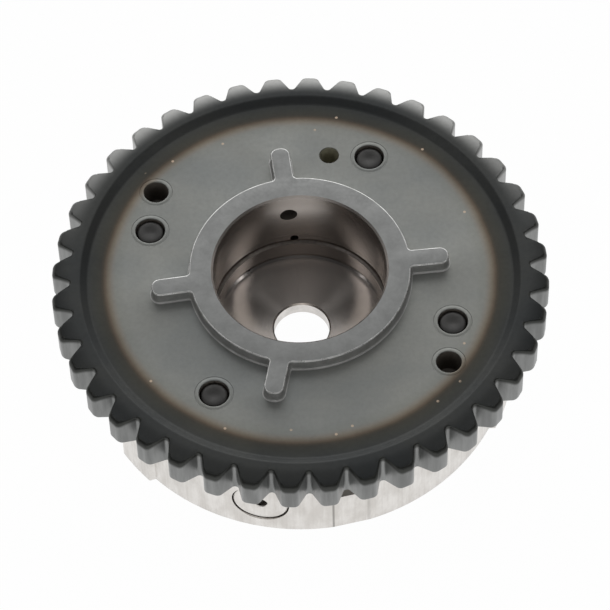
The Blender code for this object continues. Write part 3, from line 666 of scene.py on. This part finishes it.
def add_bore(shell, bore, drilled):
    """The sprocket's bore, with a window of its grid drawn in to the round mouth of the feed hole.

    The window's points run from its edge to the hole in the unrolled wall (way round, height). The hole's
    edge is where a level cylinder meets the bore: way round = radius * asin(across / radius).
    """
    columns, half_window, chamfer = 480, 12, 0.4
    step = 360 / columns
    middle = FACE - FEED_DROP
    reach = math.radians(half_window * step) * BORE_RADIUS
    phase = FEED_ANGLE - half_window * step
    window_rows = 12
    below = np.linspace(PLATE_BASE + chamfer, middle - reach, 8)[:-1]
    across_window = np.linspace(middle - reach, middle + reach, window_rows + 1)
    above = np.linspace(middle + reach, BOSS_TOP - chamfer, 5)[1:]
    heights = np.concatenate([below, across_window, above])[::-1]
    rows = [(BORE_RADIUS + chamfer, BOSS_TOP)]
    rows += [(BORE_RADIUS, height) for height in heights]
    rows += [(BORE_RADIUS + chamfer, PLATE_BASE)]
    wall = turned(rows, columns, phase=phase)
    keep = np.ones((len(rows) - 1, columns), bool)
    top_row = 1 + len(above)
    keep[top_row:top_row + window_rows, :2 * half_window] = False
    shell.skin(wall, bore, keep)

    side = np.linspace(-1, 1, 2 * half_window + 1)[:-1]
    rise = np.linspace(-1, 1, window_rows + 1)[:-1]
    square = np.concatenate([side - 1j, 1 + 1j * rise, 1j - side, -1 - 1j * rise])
    around = square / abs(square) * FEED_RADIUS
    edge = BORE_RADIUS * np.arcsin(around.real / BORE_RADIUS) + 1j * around.imag
    share = np.linspace(0, 1, 9)[:, None]
    unrolled = square * reach * (1 - share) + edge * share
    plan = BORE_RADIUS * np.exp(1j * (unrolled.real / BORE_RADIUS + math.radians(FEED_ANGLE)))
    shell.skin(raised(plan, middle + unrolled.imag), bore)
    depth = BORE_RADIUS + FEED_DEPTH
    outs = np.stack([np.sqrt(BORE_RADIUS ** 2 - around.real ** 2), np.full(len(around), depth)])
    tip = np.full((1, len(around)), depth + FEED_RADIUS * DRILL_SLOPE)
    sizes = np.array([1.0, 1.0, 0.0])[:, None]
    plan = (np.concatenate([outs, tip]) + 1j * around.real * sizes) * direction(FEED_ANGLE)
    shell.skin(raised(plan, middle + around.imag * sizes), drilled)
    return wall


def case_outline():
    """The case's outside as a radius at each angle: a circle, three lugs with slanted sides and one flat."""
    count = 1440
    angles = 360 * np.arange(count) / count
    radius = np.full(count, CASE_RADIUS)
    lug_half = math.degrees(math.asin(LUG_WIDTH / 2 / (CASE_RADIUS + LUG_RISE)))
    for lug in LUG_ANGLES:
        away = abs((angles - lug + 180) % 360 - 180)
        share = np.clip((lug_half + LUG_SLANT - away) / LUG_SLANT, 0, 1)
        radius += LUG_RISE * share * share * (3 - 2 * share)
    away = np.radians((angles - FLAT_ANGLE + 180) % 360 - 180)
    flat_half = math.asin(FLAT_WIDTH / 2 / CASE_RADIUS)
    chord = CASE_RADIUS * math.cos(flat_half) / np.cos(np.clip(away, -flat_half, flat_half))
    radius = np.where(abs(away) < flat_half, chord, radius)
    points = radius * direction(angles)
    along = np.roll(points, -1) - np.roll(points, 1)
    return points, -1j * along / abs(along)


def make_case(materials):
    """The alloy case: its outside, its chambers with shoes between them, bolt holes, notch and pin bore."""
    shell = Shell()
    wall_heights = np.linspace(CASE_BASE + CASE_EDGE, CASE_TOP - CASE_EDGE, 12)[1:-1]
    outside = swept(case_outline(), [
        *quarter(-CASE_EDGE, CASE_BASE + CASE_EDGE, CASE_EDGE, -90, 0, 4),
        *[(0.0, height) for height in wall_heights],
        *quarter(-CASE_EDGE, CASE_TOP - CASE_EDGE, CASE_EDGE, 0, 90, 4),
    ])
    chambers = finger_outline(shoe_spans(), CHAMBER_RADIUS, SHOE_RADIUS, SHOE_RADIUS + SLOT_DEPTH)
    inside = upright(chambers, CASE_BASE, CASE_TOP)
    shell.slab([outside, inside, *bolt_holes(CASE_BASE, CASE_TOP)], CASE_BASE, CASE_TOP)
    case = shell.finish(materials, "housing", "case", "cast_alloy")
    along = NOTCH_DEPTH * np.array([-1, 1, 1, -1])
    across = NOTCH_WIDTH / 2 * np.array([-1, -1, 1, 1])
    corners = (CASE_RADIUS + along + 1j * across) * direction(NOTCH_ANGLE)
    outline = fillet(corners, [NOTCH_ROUND, 0, 0, NOTCH_ROUND])
    notch = upright(outline, CASE_TOP - NOTCH_DROP, CASE_TOP + 1)
    plug_inside = PLUG_OUTSIDE - PLUG_THICKNESS - SEAT_GAP
    lock_bore = laid(turned([
        (SLEEVE_RADIUS + SEAT_GAP, HUB_RADIUS - TIP_CLEARANCE),
        (SLEEVE_RADIUS + SEAT_GAP, plug_inside),
        (PLUG_RADIUS + SEAT_GAP, plug_inside),
        (PLUG_RADIUS + SEAT_GAP, CASE_RADIUS + LUG_RISE),
    ], 96), LOCK_ANGLE, SEAT_FLOOR)
    cut(case, [cutter(notch), cutter(lock_bore)])


def make_rotor(materials):
    """The rotor: vanes swept upright round a turned, stepped bore, with its drillings cut in."""
    sintered, seat, neck, faced = range(4)
    shell = Shell()
    outline = finger_outline(vane_spans(), HUB_RADIUS, VANE_RADIUS, VANE_RADIUS - SLOT_DEPTH)
    vanes = upright(outline, CASE_BASE, CASE_TOP)
    relief = SEAT_RADIUS + RELIEF_STEP
    mouth = SEAT_RADIUS + MOUTH_STEP
    seat_top = CASE_TOP - MOUTH_DEPTH
    relief_top = SEAT_FLOOR + RELIEF_HEIGHT
    neck_round = 0.5
    lower = turned([
        (RECESS_RADIUS + EDGE, CASE_BASE),
        (RECESS_RADIUS, CASE_BASE + EDGE),
        *quarter(RECESS_RADIUS - neck_round, WEB_BASE - neck_round, neck_round, 0, 90),
        (NECK_RADIUS + EDGE, WEB_BASE),
    ], 360)
    through = turned([
        (NECK_RADIUS + EDGE, WEB_BASE),
        (NECK_RADIUS, WEB_BASE + EDGE),
        (NECK_RADIUS, SEAT_FLOOR - EDGE),
        (NECK_RADIUS + EDGE, SEAT_FLOOR),
    ], 360)
    floor_radii = np.linspace(NECK_RADIUS + EDGE, SEAT_RADIUS, 12)
    floor = turned([(radius, SEAT_FLOOR) for radius in floor_radii], 360)
    seat_heights = np.linspace(relief_top, seat_top - EDGE / 2, 6)
    upper = turned([
        (SEAT_RADIUS, SEAT_FLOOR),
        (relief, SEAT_FLOOR + EDGE),
        (relief, relief_top - EDGE),
        *[(SEAT_RADIUS, height) for height in seat_heights],
        (mouth, seat_top + EDGE / 2),
        (mouth, CASE_TOP),
    ], 360)
    shell.skin(vanes, sintered)
    shell.skin(lower, sintered)
    shell.skin(through, neck)
    shell.skin(floor, faced)
    shell.skin(upper[:-2], seat)
    shell.skin(upper[-3:-1], sintered)
    shell.skin(upper[-2:], seat)
    shell.flat(CASE_BASE, [vanes[0], lower[0]], sintered)
    shell.flat(CASE_TOP, [vanes[-1], upper[-1]], sintered)
    rotor = shell.finish(materials, "rotor_group", "rotor", "sintered_steel")
    drills = []
    for start, end, _ in vane_spans():
        for radius, angle, height in (
            (DRILL_RADIUS, start - DRILL_MARGIN, (seat_top + CASE_TOP) / 2),
            (RELIEF_DRILL_RADIUS, end + DRILL_MARGIN, SEAT_FLOOR + RELIEF_HEIGHT / 2),
        ):
            rows = [(radius, SEAT_RADIUS - radius), (radius, HUB_RADIUS + radius)]
            drills.append(cutter(laid(turned(rows, 24), angle, height)))
    rows = [(PIN_RADIUS, HUB_RADIUS - LOCK_HOLE_DEPTH), (PIN_RADIUS, HUB_RADIUS + TIP_CLEARANCE)]
    drills.append(cutter(laid(turned(rows, 48), LOCK_ANGLE + TRAVEL / 2, SEAT_FLOOR)))
    cut(rotor, drills)


def make_front_cover(materials):
    """The flat cover: a turned ring with level faces and four bolt holes."""
    shell = Shell()
    rings = []
    for radius, edge, count in ((COVER_RADIUS, -EDGE, 720), (COVER_HOLE, EDGE, 360)):
        rows = [(radius + edge, COVER_BASE), (radius, COVER_BASE + EDGE), (radius, COVER_TOP)]
        rings.append(turned(rows, count))
    shell.slab(rings + bolt_holes(COVER_BASE, COVER_TOP), COVER_BASE, COVER_TOP)
    return shell.finish(materials, "housing", "front_cover", "machined_steel")


def make_case_bolt(number, degrees, materials):
    """A flanged hexagon bolt with a rolled thread.

    The head's radius at an angle is the hexagon's, apothem / cos(angle from the flat's middle), or the
    cone of its chamfer where that is less. The thread's is the shank's less a triangle wave of its turns.
    """
    columns = 96
    angles = TURN * np.arange(columns) / columns

    def round_rows(rows):
        rows = np.array(rows)
        return np.broadcast_to(rows[:, :1], (len(rows), columns)), rows[:, 1]

    side = TURN / 6
    hexagon = HEX_APOTHEM / np.cos(angles % side - side / 2)
    foot = HEAD_HEIGHT - FLANGE_HEIGHT
    head_inset, head_slope, head_chamfer = 0.15, 1.7, 0.9
    flange_round, flange_chamfer = 0.35, 0.25
    head_rows = np.concatenate([np.linspace(0, head_chamfer, 10), [foot - flange_round]])
    head = np.minimum(hexagon, (HEX_APOTHEM - head_inset + head_slope * head_rows)[:, None])
    rim = quarter(FLANGE_RADIUS - flange_round, foot + 2 * flange_round, flange_round, -90, 0, 4)
    flange, flange_heights = round_rows(rim)
    seat, seat_heights = round_rows([
        (FLANGE_RADIUS, HEAD_HEIGHT - flange_chamfer),
        (FLANGE_RADIUS - flange_chamfer, HEAD_HEIGHT),
        (BOLT_RADIUS, HEAD_HEIGHT),
        (BOLT_RADIUS, RIM_BASE - 6),
    ])
    thread_start, thread_end = RIM_BASE - 5.5, BOLT_TIP - 1.3
    turns = np.linspace(thread_start, thread_end, 100)
    phase = turns[:, None] / THREAD_PITCH - angles / TURN
    wave = abs(2 * (phase % 1) - 1)
    fade_in = np.clip((turns - thread_start) / THREAD_PITCH, 0, 1)
    fade_out = np.clip((thread_end - turns) / THREAD_PITCH, 0, 1)
    crest = 0.1
    thread = BOLT_RADIUS + (fade_in * fade_out)[:, None] * (crest - THREAD_DEPTH * wave)
    point, point_heights = round_rows([
        (2.74, BOLT_TIP - 1.0),
        (2.72, BOLT_TIP - 0.4),
        (2.65, BOLT_TIP - 0.2),
        (2.5, BOLT_TIP - 0.08),
        (2.25, BOLT_TIP - 0.02),
        (1.9, BOLT_TIP),
        (1.15, BOLT_TIP - 0.04),
        (0.6, BOLT_TIP - 0.16),
        (0.0, BOLT_TIP - 0.2),
    ])
    radii = np.concatenate([np.zeros((1, columns)), head, flange, seat, thread, point])
    heights = np.concatenate([[0.0], head_rows, flange_heights, seat_heights, turns, point_heights])
    plan = BOLT_CIRCLE * direction(degrees) + radii * np.exp(1j * angles)
    shell = Shell()
    shell.skin(raised(plan, heights[:, None]))
    return shell.finish(materials, "housing", "case_bolt_%d" % number, "black_bolt_steel")


def make_lock_plug(materials):
    """The plug in the case wall, turned about a radius, with its vent and the spring's seat."""
    inside = PLUG_OUTSIDE - PLUG_THICKNESS
    spring_seat, seat_radius = inside + 0.8, 2.3
    vent_edge, rim_edge = 0.15, 0.25
    loops = laid(turned([
        (VENT_RADIUS, spring_seat),
        (VENT_RADIUS, PLUG_OUTSIDE - vent_edge),
        (VENT_RADIUS + vent_edge, PLUG_OUTSIDE),
        (PLUG_RADIUS - rim_edge, PLUG_OUTSIDE),
        (PLUG_RADIUS, PLUG_OUTSIDE - rim_edge),
        (PLUG_RADIUS, inside),
        (seat_radius, inside),
        (seat_radius, spring_seat),
        (VENT_RADIUS, spring_seat),
    ], 120), LOCK_ANGLE, SEAT_FLOOR)
    shell = Shell()
    shell.skin(loops)
    return shell.finish(materials, "housing", "lock_plug", "cast_alloy")


# The lighter tone painted on the far teeth's tips as a highlight
TIP_HIGHLIGHT_TONE = (168, 168, 166)


def tone(red, green, blue):
    """A colour given in screen values from 0 to 255, as the light values that a shader takes."""
    share = np.array([red, green, blue]) / 255
    light = np.where(share <= 0.04045, share / 12.92, ((share + 0.055) / 1.055) ** 2.4)
    return (*light.tolist(), 1.0)


def wire(tree, value, socket):
    """Give a socket a link, if the value is another node's output, or else the value itself."""
    if isinstance(value, bpy.types.NodeSocket):
        tree.links.new(value, socket)
    else:
        socket.default_value = value


def add_node(tree, kind, inputs=None, **settings):
    """Add a shader node of a kind, set its properties, and fill or wire its inputs."""
    node = tree.nodes.new("ShaderNode" + kind)
    for key, value in settings.items():
        setattr(node, key, value)
    for key, value in (inputs or {}).items():
        wire(tree, value, node.inputs[key])
    return node


def add_ramp(tree, value, stops):
    """A colour ramp from (position, colour) stops."""
    node = add_node(tree, "ValToRGB", {0: value})
    elements = node.color_ramp.elements
    while len(elements) < len(stops):
        elements.new(0.5)
    for element, (position, colour) in zip(elements, stops):
        element.position = position
        element.color = colour
    return node.outputs[0]


class Finish:
    """A procedural finish under construction. Its patterns lie in millimetres of Object coordinates."""

    def __init__(self, name, roughness, metallic=1.0, anisotropic=0.0):
        self.material = bpy.data.materials.new(name)
        self.material.use_nodes = True
        self.tree = self.material.node_tree
        self.shader = self.tree.nodes["Principled BSDF"]
        self.feed({"Metallic": metallic, "Roughness": roughness, "Anisotropic": anisotropic})
        place = self.node("TexCoord").outputs["Object"]
        self.place = self.vector("MULTIPLY", place, (1 / MM,) * 3)
        self.x, self.y, self.height = self.node("SeparateXYZ", {0: self.place}).outputs
        self.radius = self.vector("LENGTH", self.join(self.x, self.y, 0.0))

    def node(self, kind, inputs=None, **settings):
        """Add a node to this finish."""
        return add_node(self.tree, kind, inputs, **settings)

    def feed(self, inputs):
        """Fill or wire inputs of the shader."""
        for key, value in inputs.items():
            wire(self.tree, value, self.shader.inputs[key])

    def vector(self, operation, first, second=None):
        """Vector Math of one or two vectors."""
        inputs = {0: first} if second is None else {0: first, 1: second}
        node = self.node("VectorMath", inputs, operation=operation)
        return node.outputs["Value" if operation in ("LENGTH", "DOT_PRODUCT") else "Vector"]

    def join(self, x, y, z):
        """A vector from three numbers."""
        return self.node("CombineXYZ", {0: x, 1: y, 2: z}).outputs[0]

    def sum(self, operation, first, second=0.0):
        """Math of two numbers."""
        return self.node("Math", {0: first, 1: second}, operation=operation).outputs[0]

    def band(self, value, low, high, start=0.0, end=1.0):
        """A smooth step from start to end while the value goes from low to high."""
        inputs = {0: value, 1: low, 2: high, 3: start, 4: end}
        return self.node("MapRange", inputs, interpolation_type="SMOOTHSTEP").outputs[0]

    def slope(self, value, low, high):
        """A straight step from 0 to 1 while the value goes from low to high."""
        return self.node("MapRange", {0: value, 1: low, 2: high}).outputs[0]

    def noise(self, scales, detail=3.0, rough=0.5, at=None):
        """Noise with so many features per millimetre along X, Y and Z."""
        lattice = self.vector("MULTIPLY", at or self.place, scales)
        inputs = {"Vector": lattice, "Scale": 1.0, "Detail": detail, "Roughness": rough}
        return self.node("TexNoise", inputs).outputs[0]

    def lathe(self, scale, detail=2.0):
        """Noise that is the same all the way round the axis: the marks of a turning tool."""
        return self.noise((scale, scale, scale), detail, at=self.join(self.radius, 0.0, self.height))

    def mix(self, share, first, second, blend="MIX"):
        """One colour into another by a share."""
        inputs = {0: share, 6: first, 7: second}
        return self.node("Mix", inputs, data_type="RGBA", blend_type=blend).outputs[2]

    def bump(self, heights):
        """Bumps from (height, depth in millimetres) pairs, one on the other."""
        normal = {}
        for height, depth in heights:
            inputs = {"Height": height, "Distance": depth * MM, "Strength": 1.0, **normal}
            normal = {"Normal": self.node("Bump", inputs).outputs[0]}
        self.feed(normal)

    def grain(self):
        """The way across turning marks as the shader's tangent: up a wall, along the radius on a floor."""
        along = self.join(self.x, self.y, self.radius)
        spaces = {"convert_from": "OBJECT", "convert_to": "WORLD"}
        node = self.node("VectorTransform", {0: along}, vector_type="VECTOR", **spaces)
        self.feed({"Tangent": self.vector("NORMALIZE", node.outputs[0])})

    def done(self, colour, **others):
        """Wire the colour and any other inputs, and give back the material."""
        self.feed({"Base Color": colour, **others})
        return self.material


def face_steel():
    """The sprocket's face: ground grey steel, heat-tinted through straw and brown to a charcoal rim."""
    finish = Finish("tinted_face_steel", 0.4)
    waver = finish.sum("MULTIPLY", finish.sum("SUBTRACT", finish.noise((0.06,) * 3, 4.0), 0.5), 0.9)
    reach = finish.sum("ADD", finish.radius, waver)
    colour = add_ramp(finish.tree, finish.slope(reach, 36.0, 44.0), [
        (0.00, tone(136, 137, 133)),
        (0.25, tone(131, 132, 127)),
        (0.31, tone(130, 128, 122)),
        (0.375, tone(126, 121, 112)),
        (0.4375, tone(116, 109, 98)),
        (0.50, tone(100, 90, 79)),
        (0.5625, tone(78, 72, 64)),
        (0.625, tone(68, 66, 61)),
        (0.75, tone(66, 66, 62)),
        (1.0, tone(64, 65, 64)),
    ])
    cloud = finish.noise((0.035, 0.05, 0.05), 4.0, 0.55)
    colour = finish.mix(finish.band(cloud, 0.35, 0.7, 0.0, 0.35), colour, tone(112, 124, 142), "SOFT_LIGHT")
    mottle = finish.noise((1.1, 1.1, 1.1), 3.0, 0.6)
    colour = finish.mix(finish.band(mottle, 0.3, 0.75, 0.0, 0.05), colour, tone(90, 88, 84), "MULTIPLY")
    # Painted highlight: the far teeth's tips are lightened towards their ends
    colour = finish.mix(far_tip_highlight(finish), colour, tone(*TIP_HIGHLIGHT_TONE))
    colour = finish.mix(specks(finish), colour, tone(196, 176, 156))
    finish.bump([(finish.lathe(3.0), 0.0008), (mottle, 0.0004)])
    roughness = finish.band(finish.radius, 39.0, 41.5, 0.47, 0.44)
    roughness = finish.sum("ADD", roughness, finish.band(mottle, 0.3, 0.7, -0.02, 0.02))
    return finish.done(colour, Roughness=roughness)


def specks(finish):
    """Pale specks strewn over the ring where the face's tint begins, as a share of their colour."""
    per_millimetre = 0.105
    lattice = finish.vector("MULTIPLY", finish.join(finish.x, finish.y, 0.0), (per_millimetre,) * 3)
    cells = finish.node("TexVoronoi", {"Vector": lattice, "Scale": 1.0}, voronoi_dimensions="2D")
    inside, outside = finish.band(finish.radius, 36.5, 37.5), finish.band(finish.radius, 42.0, 41.0)
    dots = finish.band(cells.outputs[0], 0.036, 0.024, 0.0, 0.7)
    return finish.sum("MULTIPLY", dots, finish.sum("MULTIPLY", inside, outside))


def flank_steel():
    """The teeth's walls: charcoal where they round over from the face, and grey with upright marks below."""
    finish = Finish("hobbed_tooth_steel", 0.36)
    brow = ROOT_RADIUS - EDGE
    out = finish.sum("MAXIMUM", finish.sum("SUBTRACT", finish.radius, brow), 0.0)
    out = finish.sum("DIVIDE", out, TIP_RADIUS - brow)
    drop = finish.sum("MULTIPLY", finish.sum("MULTIPLY", out, out), TIP_DROP)
    below = finish.sum("SUBTRACT", finish.sum("SUBTRACT", RIM_TOP, drop), finish.height)
    wander = finish.noise((0.5, 0.5, 0.06), 4.0, 0.6)
    grey = finish.mix(finish.band(wander, 0.3, 0.7), tone(134, 135, 134), tone(112, 113, 112))
    colour = finish.mix(finish.band(below, 0.5, 1.5), tone(67, 68, 66), grey)
    grain = finish.noise((3.0, 3.0, 0.36), 2.0)
    finish.bump([(grain, 0.002)])
    # Painted highlight: the far teeth's tips are lightened towards their ends
    colour = finish.mix(far_tip_highlight(finish), colour, tone(*TIP_HIGHLIGHT_TONE))
    return finish.done(colour, Roughness=finish.band(below, 0.8, 1.7, 0.44, 0.34))


def far_tip_highlight(finish):
    """Painted highlight on the teeth's tops: a lighter share growing towards their tips, on the far side of
    the wheel only, where they face the bright screen.
    """
    outwards = finish.band(finish.radius, 46.0, TIP_RADIUS - 0.4)
    return finish.sum("MULTIPLY", outwards, finish.band(finish.y, 5.0, 42.0, 0.0, 0.75))


def plain_steel(name, light, dark, roughness, streaks=(0.4, 0.4, 0.4), mark=0.004, metallic=1.0):
    """A steel whose tone wanders between a light and a dark one, with fine marks along its streaks."""
    finish = Finish(name, roughness, metallic)
    wander = finish.noise(streaks, 4.0, 0.6)
    colour = finish.mix(finish.band(wander, 0.3, 0.7), light, dark)
    grain = finish.noise(tuple(6 * scale for scale in streaks), 2.0)
    finish.bump([(grain, mark)])
    return finish.done(colour, Roughness=finish.band(grain, 0.3, 0.7, roughness - 0.04, roughness + 0.05))


def bore_steel(name, light, dark, roughness, anisotropic):
    """A turned brownish bore: marks round the axis that draw its highlights out along it."""
    finish = Finish(name, roughness, anisotropic=anisotropic)
    wander = finish.noise((0.09, 0.09, 0.03), 4.0, 0.6)
    colour = finish.mix(finish.band(wander, 0.35, 0.65), light, dark)
    marks = finish.lathe(2.5, 3.0)
    colour = finish.mix(finish.band(marks, 0.35, 0.65, 0.0, 0.25), colour, dark)
    finish.bump([(marks, 0.0012)])
    finish.grain()
    outside = finish.band(finish.height, FACE - 3, FACE + 1, roughness, 1.6 * roughness)
    return finish.done(colour, Roughness=outside)


def case_alloy():
    """The pale alloy: fine upright marks and streaks round the wall, and two dark lines of painted shade at
    the flat's edges.
    """
    finish = Finish("machined_alloy", 0.34)
    angle = finish.sum("ARCTAN2", finish.y, finish.x)
    way = finish.sum("MULTIPLY", angle, CASE_RADIUS)
    around = finish.join(way, 0.0, finish.height)
    wide = finish.noise((0.25, 1.0, 0.10), 4.0, 0.65, at=around)
    fine = finish.noise((2.2, 1.0, 0.08), 3.0, 0.6, at=around)
    colour = finish.mix(finish.band(wide, 0.32, 0.66), tone(229, 226, 222), tone(209, 205, 200))
    colour = finish.mix(finish.band(fine, 0.45, 0.75, 0.0, 0.18), colour, tone(190, 185, 180))
    # Painted shade: dark lines standing in for the shade at the small steps at the flat's two edges
    for degrees, width, share in ((-83.0, 0.3, 0.6), (-73.2, 0.5, 0.2)):
        off = finish.sum("ABSOLUTE", finish.sum("SUBTRACT", way, math.radians(degrees) * CASE_RADIUS))
        colour = finish.mix(finish.band(off, width, 0.4 * width, 0.0, share), colour, tone(96, 92, 88))
    finish.bump([(fine, 0.006), (wide, 0.02)])
    return finish.done(colour, Roughness=finish.band(fine, 0.3, 0.7, 0.28, 0.40))


def make_materials():
    """Every finish of the part, by name."""
    finishes = {
        "face": face_steel(),
        "flank": flank_steel(),
        "alloy": case_alloy(),
        "polymer": seal_polymer(),
    }
    fine = {"mark": 0.001, "streaks": (0.25,) * 3}
    for key, name, light, dark, roughness, settings in (
        # A much lighter steel for the boss's top edge round: a painted highlight line
        ("edge", "painted_highlight_edge_steel", (216, 216, 214), (176, 176, 174), 0.3, {}),
        ("gauge", "dull_hole_steel", (180, 177, 156), (158, 155, 136), 0.5, {"metallic": 0.1}),
        ("boss", "milled_boss_steel", (138, 139, 138), (127, 128, 127), 0.46, fine),
        ("wall", "rough_wall_steel", (188, 188, 186), (170, 170, 168), 0.6, {}),
        ("hole", "drilled_hole_steel", (112, 106, 98), (96, 90, 84), 0.5, {"metallic": 0.2}),
        ("neck", "bright_neck_steel", (226, 222, 218), (206, 202, 198), 0.32, {}),
        ("sintered", "sintered_rotor_steel", (132, 126, 120), (108, 102, 98), 0.48, {"streaks": (1.5,) * 3}),
        ("cover", "pressed_cover_steel", (172, 172, 170), (150, 150, 148), 0.36, {}),
        ("bolt", "black_oxide_bolt", (56, 55, 53), (44, 43, 42), 0.42, {"metallic": 0.2}),
        ("hard", "ground_pin_steel", (190, 190, 190), (172, 172, 172), 0.22, {}),
        ("spring", "drawn_spring_wire", (168, 168, 170), (140, 140, 142), 0.28, {}),
    ):
        finishes[key] = plain_steel(name, tone(*light), tone(*dark), roughness, **settings)
    for key, name, light, dark, roughness, anisotropic in (
        ("bore", "reamed_bore_steel", (194, 187, 181), (176, 169, 163), 0.17, 0.7),
        ("seat", "turned_rotor_steel", (190, 183, 178), (172, 165, 160), 0.13, 0.5),
        ("floor", "faced_floor_steel", (186, 180, 175), (170, 163, 158), 0.27, 1.0),
    ):
        finishes[key] = bore_steel(name, tone(*light), tone(*dark), roughness, anisotropic)
    return finishes


def seal_polymer():
    """The tip seals' dark filled polymer, with a faint mottle."""
    finish = Finish("filled_seal_polymer", 0.5, metallic=0.0)
    mottle = finish.noise((4.0, 4.0, 4.0), 3.0)
    finish.bump([(mottle, 0.01)])
    return finish.done(finish.mix(mottle, tone(58, 54, 50), tone(40, 37, 35)))


def dress_inner_nodes(finishes):
    """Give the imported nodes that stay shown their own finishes."""
    kinds = {"seal": "polymer", "spring": "spring", "lock_pin": "hard", "lock_sleeve": "hard"}
    for name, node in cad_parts.items():
        for word, finish in kinds.items():
            if word in name:
                node.data.materials.clear()
                node.data.materials.append(finishes[finish])


def make_floor():
    """A pale floor: white to the camera and in reflections, but for a faint share that holds the shadow."""
    mesh = bpy.data.meshes.new("floor")
    corners = [(-1, -1), (1, -1), (1, 1), (-1, 1)]
    mesh.from_pydata([(FLOOR_REACH * x, FLOOR_REACH * y, 0) for x, y in corners], [], [(0, 1, 2, 3)])
    floor = new_object("floor", mesh)
    material = bpy.data.materials.new("white_paper")
    material.use_nodes = True
    tree = material.node_tree
    tree.nodes.clear()
    paper = add_node(tree, "BsdfDiffuse", {"Color": (FLOOR_GREY, FLOOR_GREY, FLOOR_GREY, 1.0)})
    glow = add_node(tree, "Emission", {"Color": WHITE})
    inputs = {0: seen_share(tree, FLOOR_GLOW), 1: paper.outputs[0], 2: glow.outputs[0]}
    mixer = add_node(tree, "MixShader", inputs)
    add_node(tree, "OutputMaterial", {"Surface": mixer.outputs[0]})
    mesh.materials.append(material)


def seen_share(tree, share):
    """The share for rays from the camera or from a reflection, and 0 for all others."""
    rays = add_node(tree, "LightPath").outputs
    total = rays["Is Camera Ray"]
    for name in ("Is Glossy Ray", "Is Transmission Ray"):
        total = add_node(tree, "Math", {0: total, 1: rays[name]}, operation="MAXIMUM").outputs[0]
    return add_node(tree, "Math", {0: total, 1: share}, operation="MULTIPLY").outputs[0]


def make_world():
    """A bright screen behind the part in a dark room with a pale ceiling, and plain white to the camera.

    The screen's light depends on a direction's nearness to its middle, the dot product of the two, and so
    does that of a low white board in front. A direction's Z gives the horizon and the ceiling. The brighter
    of the two counts.
    """
    world = bpy.data.worlds.new("studio")
    bpy.context.scene.world = world
    world.use_nodes = True
    tree = world.node_tree
    tree.nodes.clear()
    slope = math.radians(SCREEN_SLOPE)
    middle = (0.0, math.cos(slope), math.sin(slope))
    way = add_node(tree, "TexCoord").outputs["Generated"]
    nearness = add_node(tree, "VectorMath", {0: way, 1: middle}, operation="DOT_PRODUCT")
    parts = add_node(tree, "SeparateXYZ", {0: way})
    sides = []
    for source, lights in ((nearness.outputs["Value"], SCREEN), (parts.outputs["Z"], ROOM)):
        share = add_node(tree, "MapRange", {0: source, 1: -1.0}).outputs[0]
        stops = [((place + 1) / 2, (light / BRIGHTEST,) * 3 + (1.0,)) for place, light in lights]
        sides.append(add_ramp(tree, share, stops))
    inputs = {0: 1.0, 6: sides[0], 7: sides[1]}
    lighten = add_node(tree, "Mix", inputs, data_type="RGBA", blend_type="LIGHTEN")
    room = add_node(tree, "Background", {"Color": lighten.outputs[2], "Strength": BRIGHTEST})
    paper = add_node(tree, "Background", {"Color": WHITE})
    to_camera = add_node(tree, "LightPath").outputs["Is Camera Ray"]
    mixer = add_node(tree, "MixShader", {0: to_camera, 1: room.outputs[0], 2: paper.outputs[0]})
    add_node(tree, "OutputWorld", {"Surface": mixer.outputs[0]})


def add_lamp(name, azimuth):
    """A square soft lamp facing the part from its azimuth. Its level is the brightness of its surface."""
    lamp = bpy.data.lights.new(name, "AREA")
    lamp.shape = "SQUARE"
    lamp.size = LAMP_SIZE
    lamp.energy = LAMP_LEVEL * math.pi * LAMP_SIZE * LAMP_SIZE
    around, up = math.radians(azimuth), math.radians(LAMP_ELEVATION)
    way = Vector((math.cos(up) * math.cos(around), math.cos(up) * math.sin(around), math.sin(up)))
    holder = new_object(name, lamp)
    holder.location = way * LAMP_DISTANCE + Vector((0, 0, FACE * MM))
    holder.rotation_euler = way.to_track_quat("Z", "Y").to_euler()
    holder.visible_camera = False


def make_camera():
    """The photograph's camera: its height above the face, its roll, and a long lens on a 36 mm sensor."""
    elevation, roll = math.radians(56.601), math.radians(-1.790)
    place = Vector((0.000820, -0.411585, 0.613173 + FACE * MM))
    tilt = Matrix.Rotation(math.pi / 2 - elevation, 4, "X") @ Matrix.Rotation(roll, 4, "Z")
    data = bpy.data.cameras.new("camera")
    data.sensor_fit = "HORIZONTAL"
    data.sensor_width = 36.0
    data.lens = 211.97
    data.clip_start = 0.01
    camera = new_object("camera", data)
    camera.matrix_world = Matrix.Translation(place) @ tilt
    bpy.context.scene.camera = camera


def make_part():
    """Put the fine pieces in place of the plain solids, and dress the rest."""
    finishes = make_materials()

    def chosen(*names):
        return [finishes[name] for name in names]

    make_sprocket(chosen("face", "flank", "boss", "bore", "hole", "edge", "gauge", "wall"))
    make_case(chosen("alloy"))
    make_rotor(chosen("sintered", "seat", "neck", "floor"))
    make_front_cover(chosen("cover"))
    for number, shoe in enumerate(SHOES, 1):
        make_case_bolt(number, shoe[0], chosen("bolt"))
    make_lock_plug(chosen("alloy"))
    dress_inner_nodes(finishes)


def make_studio():
    """Floor, room, lamps, camera and view."""
    make_floor()
    make_world()
    for name, azimuth in LAMPS:
        add_lamp(name, azimuth)
    make_camera()
    bpy.context.scene.view_settings.view_transform = "Standard"


make_part()
make_studio()
